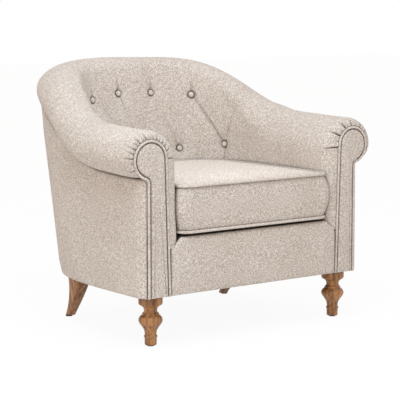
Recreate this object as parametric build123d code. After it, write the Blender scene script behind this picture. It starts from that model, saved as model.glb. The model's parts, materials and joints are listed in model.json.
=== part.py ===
"""Upholstered armchair with a scooped, buttoned back, rolled arms and a loose box cushion.

Millimetres, +Z up, the front towards -Y and +X to the right of someone facing the front.
The origin is on the floor, under the middle of the chair's overall box.
"""

from build123d import *
import math
import os
from collections import namedtuple

# Overall form
WIDTH = 886.0
DEPTH = 757.0
BACK_TOP = 761.0
ARM_TOP = 595.0
LEG_HEIGHT = 140.0
SEAT_WIDTH = 534.0
SEAT_DEPTH = 500.0
CUSHION_FRONT = 12.0
SOFT_GAP = 0.3

# Roll over the arms and the back, each size given at the arm front and at the middle of the back
ROLL_OUT_ARM = 79.0
ROLL_OUT_BACK = 70.0
ROLL_IN_CORNER = 24.0
ROLL_DROP_ARM = 72.0
ROLL_DROP_BACK = 32.0
TUCK_IN_ARM = 52.0
TUCK_IN_BACK = 35.0
TUCK_DROP_ARM = 126.0
TUCK_DROP_BACK = 104.0
TUCK_UP_CORNER = 34.0
BACK_SHOULDER = 50.0
BACK_LEAN = 120.0
BASE_FLARE = 2.0
SWEEP_CENTRE = 0.530
SWEEP_WIDTH = 0.168
FAN_CENTRE = 270.0
SEAM_ANGLE = 27.0
REAR_SEAM_ANGLE = 48.0
TURN_STEPS = 3
BACK_STEPS = 12

# Upholstery layers
ARM_COVER = 10.0
ARM_FOAM = 27.0
BACK_COVER = 22.0
BACK_FOAM = 12.0
OUTSIDE_COVER = 5.0
INSIDE_BOTTOM = 270.0
TUCK_GAP = 2.0
FRONT_ROUND = 20.0
FRONT_ROUND_INSIDE = 28.0
FRONT_ROUND_TUCK = 1.0
FRONT_TUCK_DROP = 8.0
PANEL_ROUND = 10.0
ROUND_DEPTH = 27.0
LIP_START = 1.0
LIP_THICKNESS = 1.5

# Buttons and pleats of the inside back
TOP_ROW_Z = 652.0
LOW_ROW_Z = 478.0
TOP_ROW_PITCH = 21.6
LOW_ROW_PITCH = 25.8
BUTTON_RADIUS = 11.0
BUTTON_THICKNESS = 7.0
BUTTON_DOME = 4.2
TUFT_RADIUS = 27.0
TUFT_DEPTH = 13.0
PLEAT_WIDTH = 13.0
PLEAT_DEPTH = 7.0
PLEAT_RISE = 42.0

# Arm facing: a scroll on a narrow stump, edged with a welt
SCROLL_X = 364.0
SCROLL_Z = 516.0
SCROLL_RADIUS = 47.0
STUMP_INSIDE = 306.0
STUMP_OUTSIDE = 372.0
NECK_RADIUS = 18.0
FACING_THICKNESS = 8.0
WELT_RADIUS = 4.0
WELT_SEAT = 0.2
WELT_PROUD = 1.0

# Wooden frame
BOARD = 26.0
DUST_COVER = 1.5
RAIL_HEIGHT = 112.0
POST_INSIDE = 310.0
POST_OUTSIDE = 370.0
POST_SCROLL = 40.0
SIDE_RAIL_FRONT = 352.0
SIDE_RAIL_REAR = 298.0
UPRIGHT_X = 304.0
UPRIGHT_Y = 470.0
UPRIGHT = 40.0
UPRIGHT_TOP = 34.0
UPRIGHT_TOP_X = 268.0
UPRIGHT_TOP_Y = 588.0
UPRIGHT_TOP_Z = 660.0
REAR_RAIL_BACK = 572.0
REAR_RAIL_END = 488.0
TOP_RAIL_BACK = 703.0
TOP_RAIL_END_X = 285.0
TOP_RAIL_END = 600.0
TOP_RAIL_WIDTH = 32.0
TOP_RAIL_THICKNESS = 22.0
STAY_Z = 285.0
STAY_HEIGHT = 25.0
STAY_WIDTH = 22.0
STAY_BACK = 600.0
STAY_END = 500.0
ARM_STAY_FRONT_X = 314.0
ARM_STAY_REAR_X = 296.0
ARM_RAIL_X = 338.0
ARM_RAIL_REAR_X = 288.0
ARM_RAIL_WIDTH = 34.0
ARM_RAIL_Z = 505.0
ARM_RAIL_HEIGHT = 28.0
ARM_RAIL_END = 520.5
BLOCK_LENGTH = 66.0
BLOCK_DEPTH = 56.0
BLOCK_HEIGHT = 45.0
SCREW_RADIUS = 2.5
SCREW_LENGTH = 80.0
SCREW_HEAD_RADIUS = 5.0
SCREW_HEAD = 3.0
SCREW_CLEARANCE = 0.1
SCREW_Z = 34.0
SCREW_IN = 10.0

# Seat and back suspension
SPRING_COUNT = 6
SPRING_PITCH = 84.0
SPRING_WIRE = 1.9
SPRING_BEND = 14.0
SPRING_RUN = 26.0
CLIP = 1.5
CLIP_WIDTH = 60.0
CLIP_LENGTH = 16.0
INSULATOR = 3.0
DECK_TOP = 305.5
DECK_EDGE = 8.0
DECK_INSET = 2.1
WEB_COUNT = 3
WEB_PITCH = 84.0
WEB_WIDTH = 50.0
WEB_THICKNESS = 2.0

# Front border under the cushion
BORDER_PROUD = 4.0
BORDER_HALF = 297.0
BORDER_TOP = 304.0
BORDER_TOP_HALF = 263.0
BORDER_SHOULDER = 268.0
BORDER_EDGE = 4.0
BORDER_GAP = 0.5

# Legs
FRONT_LEG_X = 333.0
FRONT_LEG_Y = 48.0
COLLAR_RADIUS = 33.0
BULB_RADIUS = 33.0
NECK_LEG_RADIUS = 18.0
ANKLE_RADIUS = 15.5
FOOT_RADIUS = 16.0
FOOT_TOP = 24.0
FOOT_RING = 3.0
FOOT_RING_TOP = 29.0
BULB_SWELL = 9.0
BULB_Z = 69.0
NECK_RING = 4.0
NECK_RING_Z = 85.0
COVE = 5.0
COVE_Z = 97.0
COLLAR_Z = 108.0
REAR_LEG_WIDTH = 42.0
REAR_LEG_DEPTH = 46.0
REAR_FOOT = 24.0
REAR_LEG_SPLAY = 9.0
REAR_LEG_SWEEP = 54.0
REAR_LEG_CURVE = 1.6
REAR_LEG_TAPER = 1.3
REAR_LEG_SHARES = (0.0, 0.35, 0.7, 1.0)
GLIDE = 3.0
GLIDE_RADIUS = 10.0
BOLT_RADIUS = 4.0
BOLT_IN_LEG = 32.0
BOLT_IN_FRAME = 22.0
BOLT_CLEARANCE = 0.15
BOLT_END_GAP = 1.0
INSERT_WALL = 2.2
INSERT_LENGTH = 15.0

# Seat cushion
CUSHION_BOTTOM = 306.0
CUSHION_BASE = 6.0
CUSHION_BASE_IN = 20.0
CUSHION_BOXING = 126.0
CUSHION_CROWN = 25.0
CROWN_POWER = 2.6
CROWN_SHARES = (0.0, 0.12, 0.3, 0.5, 0.72)
CROWN_FULL_COVER = 0.25
CUSHION_HALF_FRONT = 260.0
CUSHION_HALF_BACK = 245.0
CUSHION_BACK = 497.0
CUSHION_CORNER = 25.0
CUSHION_REAR_CORNER = 160.0
CUSHION_RAKE = 35.0
CUSHION_DRAW_IN = 5.0
CUSHION_COVER = 3.0
CUSHION_WELT = 4.5
CUSHION_WELT_OUT = 1.5
ZIP_LENGTH = 220.0
ZIP_WIDTH = 24.0
ZIP_CHAIN = 4.8
ZIP_THICKNESS = 1.2
ZIP_SEAT = 0.4
SLIDER_LENGTH = 14.0
SLIDER_WIDTH = 9.0
SLIDER_THICKNESS = 4.0

FACING_Y = -DEPTH / 2 + CUSHION_FRONT
FRAME_BOTTOM = LEG_HEIGHT + DUST_COVER
RAIL_TOP = FRAME_BOTTOM + RAIL_HEIGHT
POST_FRONT = FACING_Y + FACING_THICKNESS
POST_BACK = POST_FRONT + BOARD
WELT_TOP_Z = CUSHION_BOTTOM + CUSHION_BASE + CUSHION_BOXING
WELT_BOTTOM_Z = CUSHION_BOTTOM + CUSHION_BASE

# Plan curves of the shell, as quarter superellipses that start at the facing
PlanCurve = namedtuple("PlanCurve", "half_width length power")
CREST = PlanCurve(WIDTH / 2 - ROLL_OUT_ARM, DEPTH / 2 - ROLL_OUT_BACK - FACING_Y, 3.3)
GIRTH = PlanCurve(WIDTH / 2, DEPTH / 2 - FACING_Y, 3.4)
TUCK = PlanCurve(GIRTH.half_width - TUCK_IN_ARM, GIRTH.length - TUCK_IN_BACK, 4.2)
BASE = PlanCurve(TUCK.half_width + BASE_FLARE, TUCK.length - BACK_LEAN, 4.2)
INSIDE = PlanCurve(SEAT_WIDTH / 2, SEAT_DEPTH, 5.0)
ARM_SHOULDER = CREST.half_width - INSIDE.half_width

Station = namedtuple("Station", "x y dx dy share")

STANDING = (Align.CENTER, Align.CENTER, Align.MIN)
HANGING = (Align.CENTER, Align.CENTER, Align.MAX)


# Shell sections

def curve_level(curve, x, y):
    """Below 1 inside the plan curve, 1 on it and above 1 outside."""
    along = max(y - FACING_Y, 0.0)
    return (abs(x) / curve.half_width) ** curve.power + (along / curve.length) ** curve.power


def reach(curve, x, y, dx, dy):
    """Distance from a plan point to the curve, along a plan direction."""
    near, far = 0.0, WIDTH + DEPTH
    for _ in range(60):
        middle = (near + far) / 2
        if curve_level(curve, x + middle * dx, y + middle * dy) < 1.0:
            near = middle
        else:
            far = middle
    return near


def crest_lengths(steps=180):
    """Running length of the crest from the facing to the middle of the back, at even angles."""
    lengths = [0.0]
    last = (CREST.half_width, 0.0)
    for step in range(1, steps + 1):
        angle = math.pi / 2 * step / steps
        here = (CREST.half_width * max(math.cos(angle), 0.0) ** (2 / CREST.power),
                CREST.length * math.sin(angle) ** (2 / CREST.power))
        lengths.append(lengths[-1] + math.dist(last, here))
        last = here
    return lengths


CREST_LENGTHS = crest_lengths()


def crest_share(x, y):
    """Share of the crest's length from the facing to a point on it."""
    across = (abs(x) / CREST.half_width) ** (CREST.power / 2)
    along = (max(y - FACING_Y, 0.0) / CREST.length) ** (CREST.power / 2)
    place = math.atan2(along, across) / (math.pi / 2) * (len(CREST_LENGTHS) - 1)
    index = min(int(place), len(CREST_LENGTHS) - 2)
    step = CREST_LENGTHS[index + 1] - CREST_LENGTHS[index]
    return (CREST_LENGTHS[index] + (place - index) * step) / CREST_LENGTHS[-1]


def station(x, y, dx, dy):
    """Vertical section plane through a plan point, facing along a plan direction."""
    crest = reach(CREST, x, y, dx, dy)
    return Station(x, y, dx, dy, crest_share(x + crest * dx, y + crest * dy))


def arm_station(along):
    """Section across the right arm, at a distance behind the facing."""
    return station(0.0, FACING_Y + along, 1.0, 0.0)


def fan_station(angle):
    """Section through the fan's upright axis, turned from the right arm towards the back."""
    turn = math.radians(angle)
    return station(0.0, FACING_Y + FAN_CENTRE, math.cos(turn), math.sin(turn))


def rise(share):
    """Share of the climb from arm height to back height at a share of the crest."""
    low = math.tanh(-SWEEP_CENTRE / SWEEP_WIDTH)
    high = math.tanh((1.0 - SWEEP_CENTRE) / SWEEP_WIDTH)
    return (math.tanh((share - SWEEP_CENTRE) / SWEEP_WIDTH) - low) / (high - low)


class ShellSection:
    """Inside face, shoulder, crest, girth and tuck of the padded shell at one station."""

    def __init__(self, place, rounding=0.0):
        climb = rise(place.share)
        corner = 4.0 * climb * (1.0 - climb)
        line = (place.x, place.y, place.dx, place.dy)
        self.place = place
        self.rounding = rounding
        self.bottom = reach(INSIDE, *line) + rounding * FRONT_ROUND_INSIDE
        self.crest_u = reach(CREST, *line)
        self.crest_z = ARM_TOP + (BACK_TOP - ARM_TOP) * climb - rounding * FRONT_ROUND
        self.shoulder = ARM_SHOULDER + (BACK_SHOULDER - ARM_SHOULDER) * climb
        if rounding > 0.0:
            self.shoulder = self.crest_u - self.bottom
        across = self.crest_u - self.bottom
        upward = self.crest_z - self.shoulder - INSIDE_BOTTOM
        ratio = min(self.shoulder / math.hypot(across, upward), 1.0)
        self.lean = math.atan2(across, upward) - math.asin(ratio)
        girth_out = reach(GIRTH, *line) - rounding * FRONT_ROUND - self.crest_u - corner * ROLL_IN_CORNER
        girth_drop = ROLL_DROP_ARM + (ROLL_DROP_BACK - ROLL_DROP_ARM) * climb - rounding * FRONT_ROUND
        self.roll = (girth_out ** 2 + girth_drop ** 2) / (2 * girth_drop)
        self.girth_angle = math.pi / 2 - 2 * math.atan2(girth_drop, girth_out)
        self.tuck_u = reach(TUCK, *line) - rounding * FRONT_ROUND_TUCK
        tuck_drop = TUCK_DROP_ARM + (TUCK_DROP_BACK - TUCK_DROP_ARM) * climb - corner * TUCK_UP_CORNER
        self.tuck_z = ARM_TOP + (BACK_TOP - ARM_TOP) * climb - tuck_drop - rounding * FRONT_TUCK_DROP
        girth_u = self.crest_u + girth_out
        girth_z = self.crest_z - girth_drop
        heading = self.girth_angle - math.pi / 2
        chord = math.atan2(self.tuck_z - girth_z, self.tuck_u - girth_u)
        half_turn = (heading - chord) % (2 * math.pi)
        self.under = math.dist((girth_u, girth_z), (self.tuck_u, self.tuck_z)) / (2 * math.sin(half_turn))
        self.tuck_angle = self.girth_angle - 2 * half_turn
        self.under_u = girth_u - self.under * math.cos(self.girth_angle)
        self.under_z = girth_z - self.under * math.sin(self.girth_angle)

    def at(self, u, z):
        place = self.place
        return Vector(place.x + u * place.dx, place.y + u * place.dy, z)

    def inside_point(self, z, depth=0.0):
        """Point at a height on the inside face, or at a depth behind it."""
        return self.at(self.bottom + depth / math.cos(self.lean)
                       + (z - INSIDE_BOTTOM) * math.tan(self.lean), z)

    def on_shoulder(self, angle, depth):
        radius = self.shoulder - depth
        return self.at(self.crest_u + radius * math.cos(angle),
                       self.crest_z - self.shoulder + radius * math.sin(angle))

    def on_roll(self, angle, depth):
        radius = self.roll - depth
        return self.at(self.crest_u + radius * math.cos(angle),
                       self.crest_z - self.roll + radius * math.sin(angle))

    def on_under(self, angle, depth):
        radius = self.under - depth
        return self.at(self.under_u + radius * math.cos(angle), self.under_z + radius * math.sin(angle))

    def path(self, depth, to_tuck):
        """Points of the section at a depth under its face: a line, then arcs of three points."""
        start = math.pi - self.lean
        top = math.pi / 2
        points = [self.inside_point(INSIDE_BOTTOM, depth)]
        points.append(self.on_shoulder(start, depth))
        points.append(self.on_shoulder((start + top) / 2, depth))
        points.append(self.on_shoulder(top, depth))
        points.append(self.on_roll((top + self.girth_angle) / 2, depth))
        points.append(self.on_roll(self.girth_angle, depth))
        if to_tuck:
            points.append(self.on_under((self.girth_angle + self.tuck_angle) / 2, depth))
            points.append(self.on_under(self.tuck_angle, depth))
        return points

    def layer(self, outer, inner, to_tuck):
        """Closed face of the padding between two depths."""
        front = self.path(outer, to_tuck)
        behind = self.path(inner, to_tuck)
        edges = [Line(front[0], front[1])]
        for index in range(1, len(front) - 2, 2):
            edges.append(ThreePointArc(front[index], front[index + 1], front[index + 2]))
        edges.append(Line(front[-1], behind[-1]))
        for index in range(len(behind) - 1, 1, -2):
            edges.append(ThreePointArc(behind[index], behind[index - 1], behind[index - 2]))
        edges.append(Line(behind[1], behind[0]))
        edges.append(Line(behind[0], front[0]))
        return Face(Wire(edges))

    def outside_panel(self):
        """Closed face of the outside cover, from the base up to the tuck."""
        place = self.place
        foot = reach(BASE, place.x, place.y, place.dx, place.dy) - self.rounding * PANEL_ROUND
        head = reach(TUCK, place.x, place.y, place.dx, place.dy) - self.rounding * PANEL_ROUND
        top = self.tuck_z - TUCK_GAP
        corners = [(foot, LEG_HEIGHT), (head, top), (head - OUTSIDE_COVER, top),
                   (foot - OUTSIDE_COVER, LEG_HEIGHT)]
        return Face(Wire.make_polygon([self.at(u, z) for u, z in corners]))


ARM_ALONG = (LIP_START + ROUND_DEPTH, 95.0, 185.0, FAN_CENTRE)
WELT_SHARE = 0.25
LIP_SHARES = (0.0, 0.08, WELT_SHARE, 0.55, 1.0)
PANEL_SHARES = LIP_SHARES[2:]


def lip_rounding(share):
    """How far the rounded front edge has still to swell, over its depth."""
    return 1.0 - math.sqrt(1.0 - (1.0 - share) ** 2)


def lip_thickness(share):
    """Thin beside the facing's welt, then thickening back to the full arm."""
    swell = max(0.0, (share - WELT_SHARE) / (1.0 - WELT_SHARE))
    return LIP_THICKNESS + (ARM_COVER - LIP_THICKNESS) * swell


def lip_section(share):
    """Section of the rounded front edge, from the facing's welt at 0 back to the full arm at 1."""
    return ShellSection(arm_station(LIP_START + share * ROUND_DEPTH), lip_rounding(share))


def fan_angles(first, last):
    """Angles of the fan's stations in a range: round the turn of the arm, then along the back."""
    turn = [SEAM_ANGLE * (index + 1) / TURN_STEPS for index in range(TURN_STEPS)]
    step = (180.0 - 2 * SEAM_ANGLE) / BACK_STEPS
    back = [SEAM_ANGLE + step * (index + 1) for index in range(BACK_STEPS)]
    return [angle for angle in turn + back if first - 0.01 <= angle <= last + 0.01]


def arm_sections(last_angle, start=ARM_ALONG[0]):
    """Sections of the right arm, from a distance behind the facing to an angle of the fan."""
    places = [arm_station(along) for along in (start,) + ARM_ALONG[1:]]
    places += [fan_station(angle) for angle in fan_angles(0.0, last_angle)]
    return [ShellSection(place) for place in places]


def back_sections(first_angle):
    """Sections of the back, from one seam round to the other."""
    return [ShellSection(fan_station(angle)) for angle in fan_angles(first_angle, 180.0 - first_angle)]


def pair(name, right):
    """A right-hand piece and its mirror image, named for the side that they are on."""
    return {name + "_right": right, name + "_left": mirror(right, about=Plane.YZ)}


# Upholstery of the shell

def border_outline(grow=0.0):
    """Front outline of the border: cut back at its upper corners, where the inside arms come down."""
    half = BORDER_HALF + grow
    top_half = BORDER_TOP_HALF + grow
    corners = [(-half, LEG_HEIGHT), (half, LEG_HEIGHT), (half, BORDER_SHOULDER + grow),
               (top_half, BORDER_TOP + grow), (-top_half, BORDER_TOP + grow), (-half, BORDER_SHOULDER + grow)]
    return Face(Wire.make_polygon([(x, 0.0, z) for x, z in corners]))


def front_border():
    thickness = FACING_THICKNESS + BORDER_PROUD - SOFT_GAP
    body = Pos(0, FACING_Y - BORDER_PROUD, 0) * extrude(border_outline(), amount=thickness, dir=(0, 1, 0))
    front = body.faces().sort_by(Axis.Y)[0]
    return fillet(front.edges().filter_by(lambda edge: edge.center().Z > LEG_HEIGHT), BORDER_EDGE)


def border_space():
    thickness = FACING_THICKNESS + BORDER_PROUD + BORDER_GAP
    return Pos(0, FACING_Y - BORDER_PROUD, 0) * extrude(border_outline(BORDER_GAP), amount=thickness,
                                                        dir=(0, 1, 0))


def inside_arm_cover():
    lip = [lip_section(share).layer(0.0, lip_thickness(share), True) for share in LIP_SHARES]
    arm = [section.layer(0.0, ARM_COVER, True) for section in arm_sections(SEAM_ANGLE)]
    return loft(lip, ruled=True) + loft(arm) - border_space()


def inside_arm_foam():
    outer = ARM_COVER + SOFT_GAP
    inner = outer + ARM_FOAM
    behind_post = POST_BACK - FACING_Y + SOFT_GAP
    return loft([section.layer(outer, inner, False) for section in arm_sections(SEAM_ANGLE, behind_post)])


def button_places():
    """Each button's angle from the middle of the back and its height, row by row."""
    top = [((index - 1.5) * TOP_ROW_PITCH, TOP_ROW_Z) for index in range(4)]
    low = [((index - 2) * LOW_ROW_PITCH, LOW_ROW_Z) for index in range(5)]
    return top, low


def inside_back_point(angle, z):
    return ShellSection(fan_station(90.0 - angle)).inside_point(z)


def inside_back_normal(angle, z):
    """Direction into the padding, square to the inside back."""
    step = 1.0
    across = inside_back_point(angle + step, z) - inside_back_point(angle - step, z)
    upward = inside_back_point(angle, z + step) - inside_back_point(angle, z - step)
    return upward.cross(across).normalized()


def tuft_hollow(angle, z):
    into = inside_back_normal(angle, z)
    seat = Plane(inside_back_point(angle, z), z_dir=into)
    hollow = Cone(TUFT_RADIUS, BUTTON_RADIUS + SOFT_GAP, TUFT_DEPTH, align=STANDING)
    mouth = Cylinder(TUFT_RADIUS, TUFT_DEPTH, align=HANGING)
    return seat * (hollow + mouth)


def pleat_cut(start, end, into):
    """Wedge that opens a sewn pleat between two points of the inside back."""
    along = (end - start).normalized()
    plane = Plane(start, x_dir=into - along * into.dot(along), z_dir=along)
    wedge = Polyline((PLEAT_DEPTH, 0), (-PLEAT_DEPTH, PLEAT_WIDTH), (-PLEAT_DEPTH, -PLEAT_WIDTH), close=True)
    return extrude(plane * make_face(wedge), amount=(end - start).length, dir=along)


def inside_back_cover():
    body = loft([section.layer(0.0, BACK_COVER, True) for section in back_sections(SEAM_ANGLE)])
    top, low = button_places()
    cuts = [tuft_hollow(angle, z) for angle, z in top + low]
    for angle, z in top:
        into = inside_back_normal(angle, z)
        here = inside_back_point(angle, z)
        cuts.append(pleat_cut(here, inside_back_point(angle, z + PLEAT_RISE), into))
        for low_angle, low_z in low:
            if abs(low_angle - angle) < LOW_ROW_PITCH:
                cuts.append(pleat_cut(here, inside_back_point(low_angle, low_z), into))
    return body - cuts


def inside_back_foam():
    outer = BACK_COVER + SOFT_GAP
    return loft([section.layer(outer, outer + BACK_FOAM, False) for section in back_sections(SEAM_ANGLE)])


def tufting_buttons():
    """Covered buttons, domed in front, each at the bottom of its tuft."""
    ball = (BUTTON_RADIUS ** 2 + BUTTON_DOME ** 2) / (2 * BUTTON_DOME)
    rim = Cylinder(BUTTON_RADIUS, BUTTON_THICKNESS, align=HANGING)
    button = rim & Pos(0, 0, ball - BUTTON_THICKNESS) * Sphere(ball)
    top, low = button_places()
    placed = []
    for angle, z in top + low:
        into = inside_back_normal(angle, z)
        seat = Plane(inside_back_point(angle, z) + into * (TUFT_DEPTH - SOFT_GAP), z_dir=into)
        placed.append(seat * button)
    return Compound(children=placed)


def outside_arm_cover():
    edge = [lip_section(share).outside_panel() for share in PANEL_SHARES]
    panel = [section.outside_panel() for section in arm_sections(REAR_SEAM_ANGLE)]
    return loft(edge, ruled=True) + loft(panel)


def outside_back_cover():
    return loft([section.outside_panel() for section in back_sections(REAR_SEAM_ANGLE)])


# Arm facings

def scroll_path(grow):
    """Edges of the facing's outline, from the outside foot over the scroll to the inside foot."""
    radius = SCROLL_RADIUS + grow
    neck = NECK_RADIUS - grow
    outside = STUMP_OUTSIDE + grow
    inside = STUMP_INSIDE - grow
    neck_x = outside + neck
    neck_z = SCROLL_Z - math.sqrt((radius + neck) ** 2 - (neck_x - SCROLL_X) ** 2)
    start = math.atan2(neck_z - SCROLL_Z, neck_x - SCROLL_X)
    across = SCROLL_X - inside
    upward = SCROLL_Z - LEG_HEIGHT
    lean = math.atan2(across, upward) - math.asin(radius / math.hypot(across, upward))
    end = math.pi - lean

    def on_scroll(angle):
        return (SCROLL_X + radius * math.cos(angle), 0, SCROLL_Z + radius * math.sin(angle))

    def on_neck(angle):
        return (neck_x + neck * math.cos(angle), 0, neck_z + neck * math.sin(angle))

    back = start + math.pi
    quarter = (end - start) / 4
    return [Line((outside, 0, LEG_HEIGHT), (outside, 0, neck_z)),
            ThreePointArc(on_neck(math.pi), on_neck((math.pi + back) / 2), on_neck(back)),
            ThreePointArc(on_scroll(start), on_scroll(start + quarter), on_scroll(start + 2 * quarter)),
            ThreePointArc(on_scroll(start + 2 * quarter), on_scroll(end - quarter), on_scroll(end)),
            Line(on_scroll(end), (inside, 0, LEG_HEIGHT))]


def arm_facing():
    edges = scroll_path(0.0)
    outline = Face(Wire(edges + [Line(edges[-1] @ 1, edges[0] @ 0)]))
    return Pos(0, FACING_Y, 0) * extrude(outline, amount=FACING_THICKNESS, dir=(0, 1, 0))


def facing_welt():
    path = Pos(0, FACING_Y + WELT_RADIUS - WELT_PROUD, 0) * Wire(scroll_path(WELT_RADIUS + WELT_SEAT))
    section = Plane(path @ 0, z_dir=path % 0) * Circle(WELT_RADIUS)
    return sweep(section, path)


# Wooden frame

def box_between(x0, x1, y0, y1, z0, z1):
    return Pos((x0 + x1) / 2, (y0 + y1) / 2, (z0 + z1) / 2) * Box(x1 - x0, y1 - y0, z1 - z0)


def slanted_board(front_x, rear_x, width, front_y, rear_y, z, height):
    """Upright board on the right whose plan slants from the front to the rear."""
    plan = [(front_x, front_y), (front_x + width, front_y), (rear_x + width, rear_y), (rear_x, rear_y)]
    return extrude(Face(Wire.make_polygon([(x, y, z) for x, y in plan])), amount=height, dir=(0, 0, 1))


def bowed_board(end_x, end_y, middle_y, width, z, height):
    """Board sawn to a bow: its back edge is an arc through both ends and the middle of the back."""
    bow = middle_y - end_y
    radius = (end_x ** 2 + bow ** 2) / (2 * bow)
    centre = middle_y - radius
    inner = radius - width
    inner_end = centre + math.sqrt(inner ** 2 - end_x ** 2)
    edges = [ThreePointArc((-end_x, end_y, z), (0, middle_y, z), (end_x, end_y, z)),
             Line((end_x, end_y, z), (end_x, inner_end, z)),
             ThreePointArc((end_x, inner_end, z), (0, middle_y - width, z), (-end_x, inner_end, z)),
             Line((-end_x, inner_end, z), (-end_x, end_y, z))]
    return extrude(Face(Wire(edges)), amount=height, dir=(0, 0, 1))


def bowed_face_y(end_x, end_y, middle_y, width, x):
    """Front face of a bowed board at a place across it."""
    bow = middle_y - end_y
    radius = (end_x ** 2 + bow ** 2) / (2 * bow)
    return middle_y - radius + math.sqrt((radius - width) ** 2 - x ** 2)


def upright_inside(z):
    """How far the right upright's inner face is from the middle, at a height above the seat rails."""
    climb = (z - RAIL_TOP) / (UPRIGHT_TOP_Z - RAIL_TOP)
    size = UPRIGHT + (UPRIGHT_TOP - UPRIGHT) * climb
    return UPRIGHT_X + (UPRIGHT_TOP_X - UPRIGHT_X) * climb - size / 2


UPRIGHT_IN = UPRIGHT_X - UPRIGHT / 2
UPRIGHT_FRONT = FACING_Y + UPRIGHT_Y - UPRIGHT / 2
REAR_RAIL = (UPRIGHT_IN, FACING_Y + REAR_RAIL_END, FACING_Y + REAR_RAIL_BACK, BOARD)
TOP_RAIL = (TOP_RAIL_END_X, FACING_Y + TOP_RAIL_END, FACING_Y + TOP_RAIL_BACK, TOP_RAIL_WIDTH)
STAY_RAIL = (upright_inside(STAY_Z + STAY_HEIGHT) - SOFT_GAP, FACING_Y + STAY_END, FACING_Y + STAY_BACK,
             STAY_WIDTH)


def arm_post():
    """Front board of the arm: a straight stump with a round head inside the scroll."""
    stump = box_between(POST_INSIDE, POST_OUTSIDE, POST_FRONT, POST_BACK,
                        FRAME_BOTTOM, SCROLL_Z - POST_SCROLL / 2)
    head = Pos(SCROLL_X, (POST_FRONT + POST_BACK) / 2, SCROLL_Z) * Rot(90, 0, 0) * Cylinder(POST_SCROLL, BOARD)
    return stump + head


def back_upright():
    """Rear corner post: straight behind the seat rails, then raked up to the top rail."""
    foot = box_between(UPRIGHT_X - UPRIGHT / 2, UPRIGHT_X + UPRIGHT / 2, UPRIGHT_FRONT,
                       UPRIGHT_FRONT + UPRIGHT, FRAME_BOTTOM, RAIL_TOP)
    low = Pos(UPRIGHT_X, FACING_Y + UPRIGHT_Y, RAIL_TOP) * Rectangle(UPRIGHT, UPRIGHT)
    high = Pos(UPRIGHT_TOP_X, FACING_Y + UPRIGHT_TOP_Y, UPRIGHT_TOP_Z) * Rectangle(UPRIGHT_TOP, UPRIGHT_TOP)
    return foot + loft([low, high], ruled=True)


def front_seat_rail():
    return box_between(-POST_INSIDE, POST_INSIDE, POST_FRONT, POST_BACK, FRAME_BOTTOM, RAIL_TOP)


def side_seat_rail():
    return slanted_board(SIDE_RAIL_FRONT, SIDE_RAIL_REAR, BOARD, POST_BACK, UPRIGHT_FRONT,
                         FRAME_BOTTOM, RAIL_HEIGHT)


def arm_top_rail():
    return slanted_board(ARM_RAIL_X, ARM_RAIL_REAR_X, ARM_RAIL_WIDTH, POST_BACK, FACING_Y + ARM_RAIL_END,
                         ARM_RAIL_Z, ARM_RAIL_HEIGHT)


def arm_stay_rail():
    """Lower rail of the arm, which the inside cover is tacked to."""
    climb = (STAY_Z - RAIL_TOP) / (UPRIGHT_TOP_Z - RAIL_TOP)
    rear = UPRIGHT_FRONT + climb * (UPRIGHT_TOP_Y - UPRIGHT_Y)
    return slanted_board(ARM_STAY_FRONT_X, ARM_STAY_REAR_X, STAY_WIDTH, POST_BACK, rear, STAY_Z, STAY_HEIGHT)


def corner_block():
    """Block behind the right front corner, which the leg is bolted to."""
    slant = (SIDE_RAIL_FRONT - SIDE_RAIL_REAR) / (UPRIGHT_FRONT - POST_BACK)
    return box_between(SIDE_RAIL_FRONT - BLOCK_LENGTH, SIDE_RAIL_FRONT - BLOCK_DEPTH * slant,
                       POST_BACK, POST_BACK + BLOCK_DEPTH, FRAME_BOTTOM, FRAME_BOTTOM + BLOCK_HEIGHT)


def rear_corner_block():
    """Small block in the angle between the right upright and the rear rail."""
    rear = bowed_face_y(*REAR_RAIL, UPRIGHT_IN) - SOFT_GAP
    return box_between(UPRIGHT_IN - UPRIGHT, UPRIGHT_IN, rear - UPRIGHT, rear, FRAME_BOTTOM,
                       FRAME_BOTTOM + BLOCK_HEIGHT)


def screw(grow=0.0):
    """Countersunk wood screw along +Z, with its head at the origin."""
    shank = Cylinder(SCREW_RADIUS + grow, SCREW_LENGTH, align=STANDING)
    head = Cone(SCREW_HEAD_RADIUS + grow, SCREW_RADIUS + grow, SCREW_HEAD, align=STANDING)
    return shank + head


def screw_places():
    """Seats of the right front block's screws, driven forward into the front rail and the post."""
    y = POST_BACK + BLOCK_DEPTH
    z = FRAME_BOTTOM + SCREW_Z
    return [Plane((x, y, z), z_dir=(0, -1, 0)) for x in (POST_INSIDE - SCREW_IN, POST_INSIDE + SCREW_IN)]


# Seat and back suspension

def seat_plan(front_half, back_half, front_y, back_y, z, front_corner, rear_corner):
    """Outline of the seat: straight sides drawn in a little, with large rear corners."""
    corners = [(0, front_y, z), (front_half, front_y, z), (back_half, back_y, z),
               (-back_half, back_y, z), (-front_half, front_y, z)]
    radii = [0.0, front_corner, rear_corner, rear_corner, front_corner]
    return FilletPolyline(*corners, radius=radii, close=True)


def shell_plan(curve, inset, front, z):
    """Level face inside a plan curve: a straight front edge, then round the sides and the back."""
    places = [station(0.0, front, 1.0, 0.0)]
    places += [arm_station(along) for along in ARM_ALONG if FACING_Y + along > front]
    places += [fan_station(angle) for angle in fan_angles(0.0, 90.0)]
    right = []
    for place in places:
        out = reach(curve, place.x, place.y, place.dx, place.dy) - inset
        right.append((place.x + out * place.dx, place.y + out * place.dy, z))
    left = [(-x, y, z) for x, y, z in reversed(right[:-1])]
    return Face(Wire([Spline(*right, *left), Line(left[-1], right[0])]))


def deck_outline(z):
    return shell_plan(INSIDE, DECK_INSET, POST_FRONT + SOFT_GAP, z)


WIRE_Z = RAIL_TOP + CLIP + SPRING_WIRE
INSULATOR_Z = WIRE_Z + SPRING_WIRE
DECK_Z = INSULATOR_Z + INSULATOR


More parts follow.
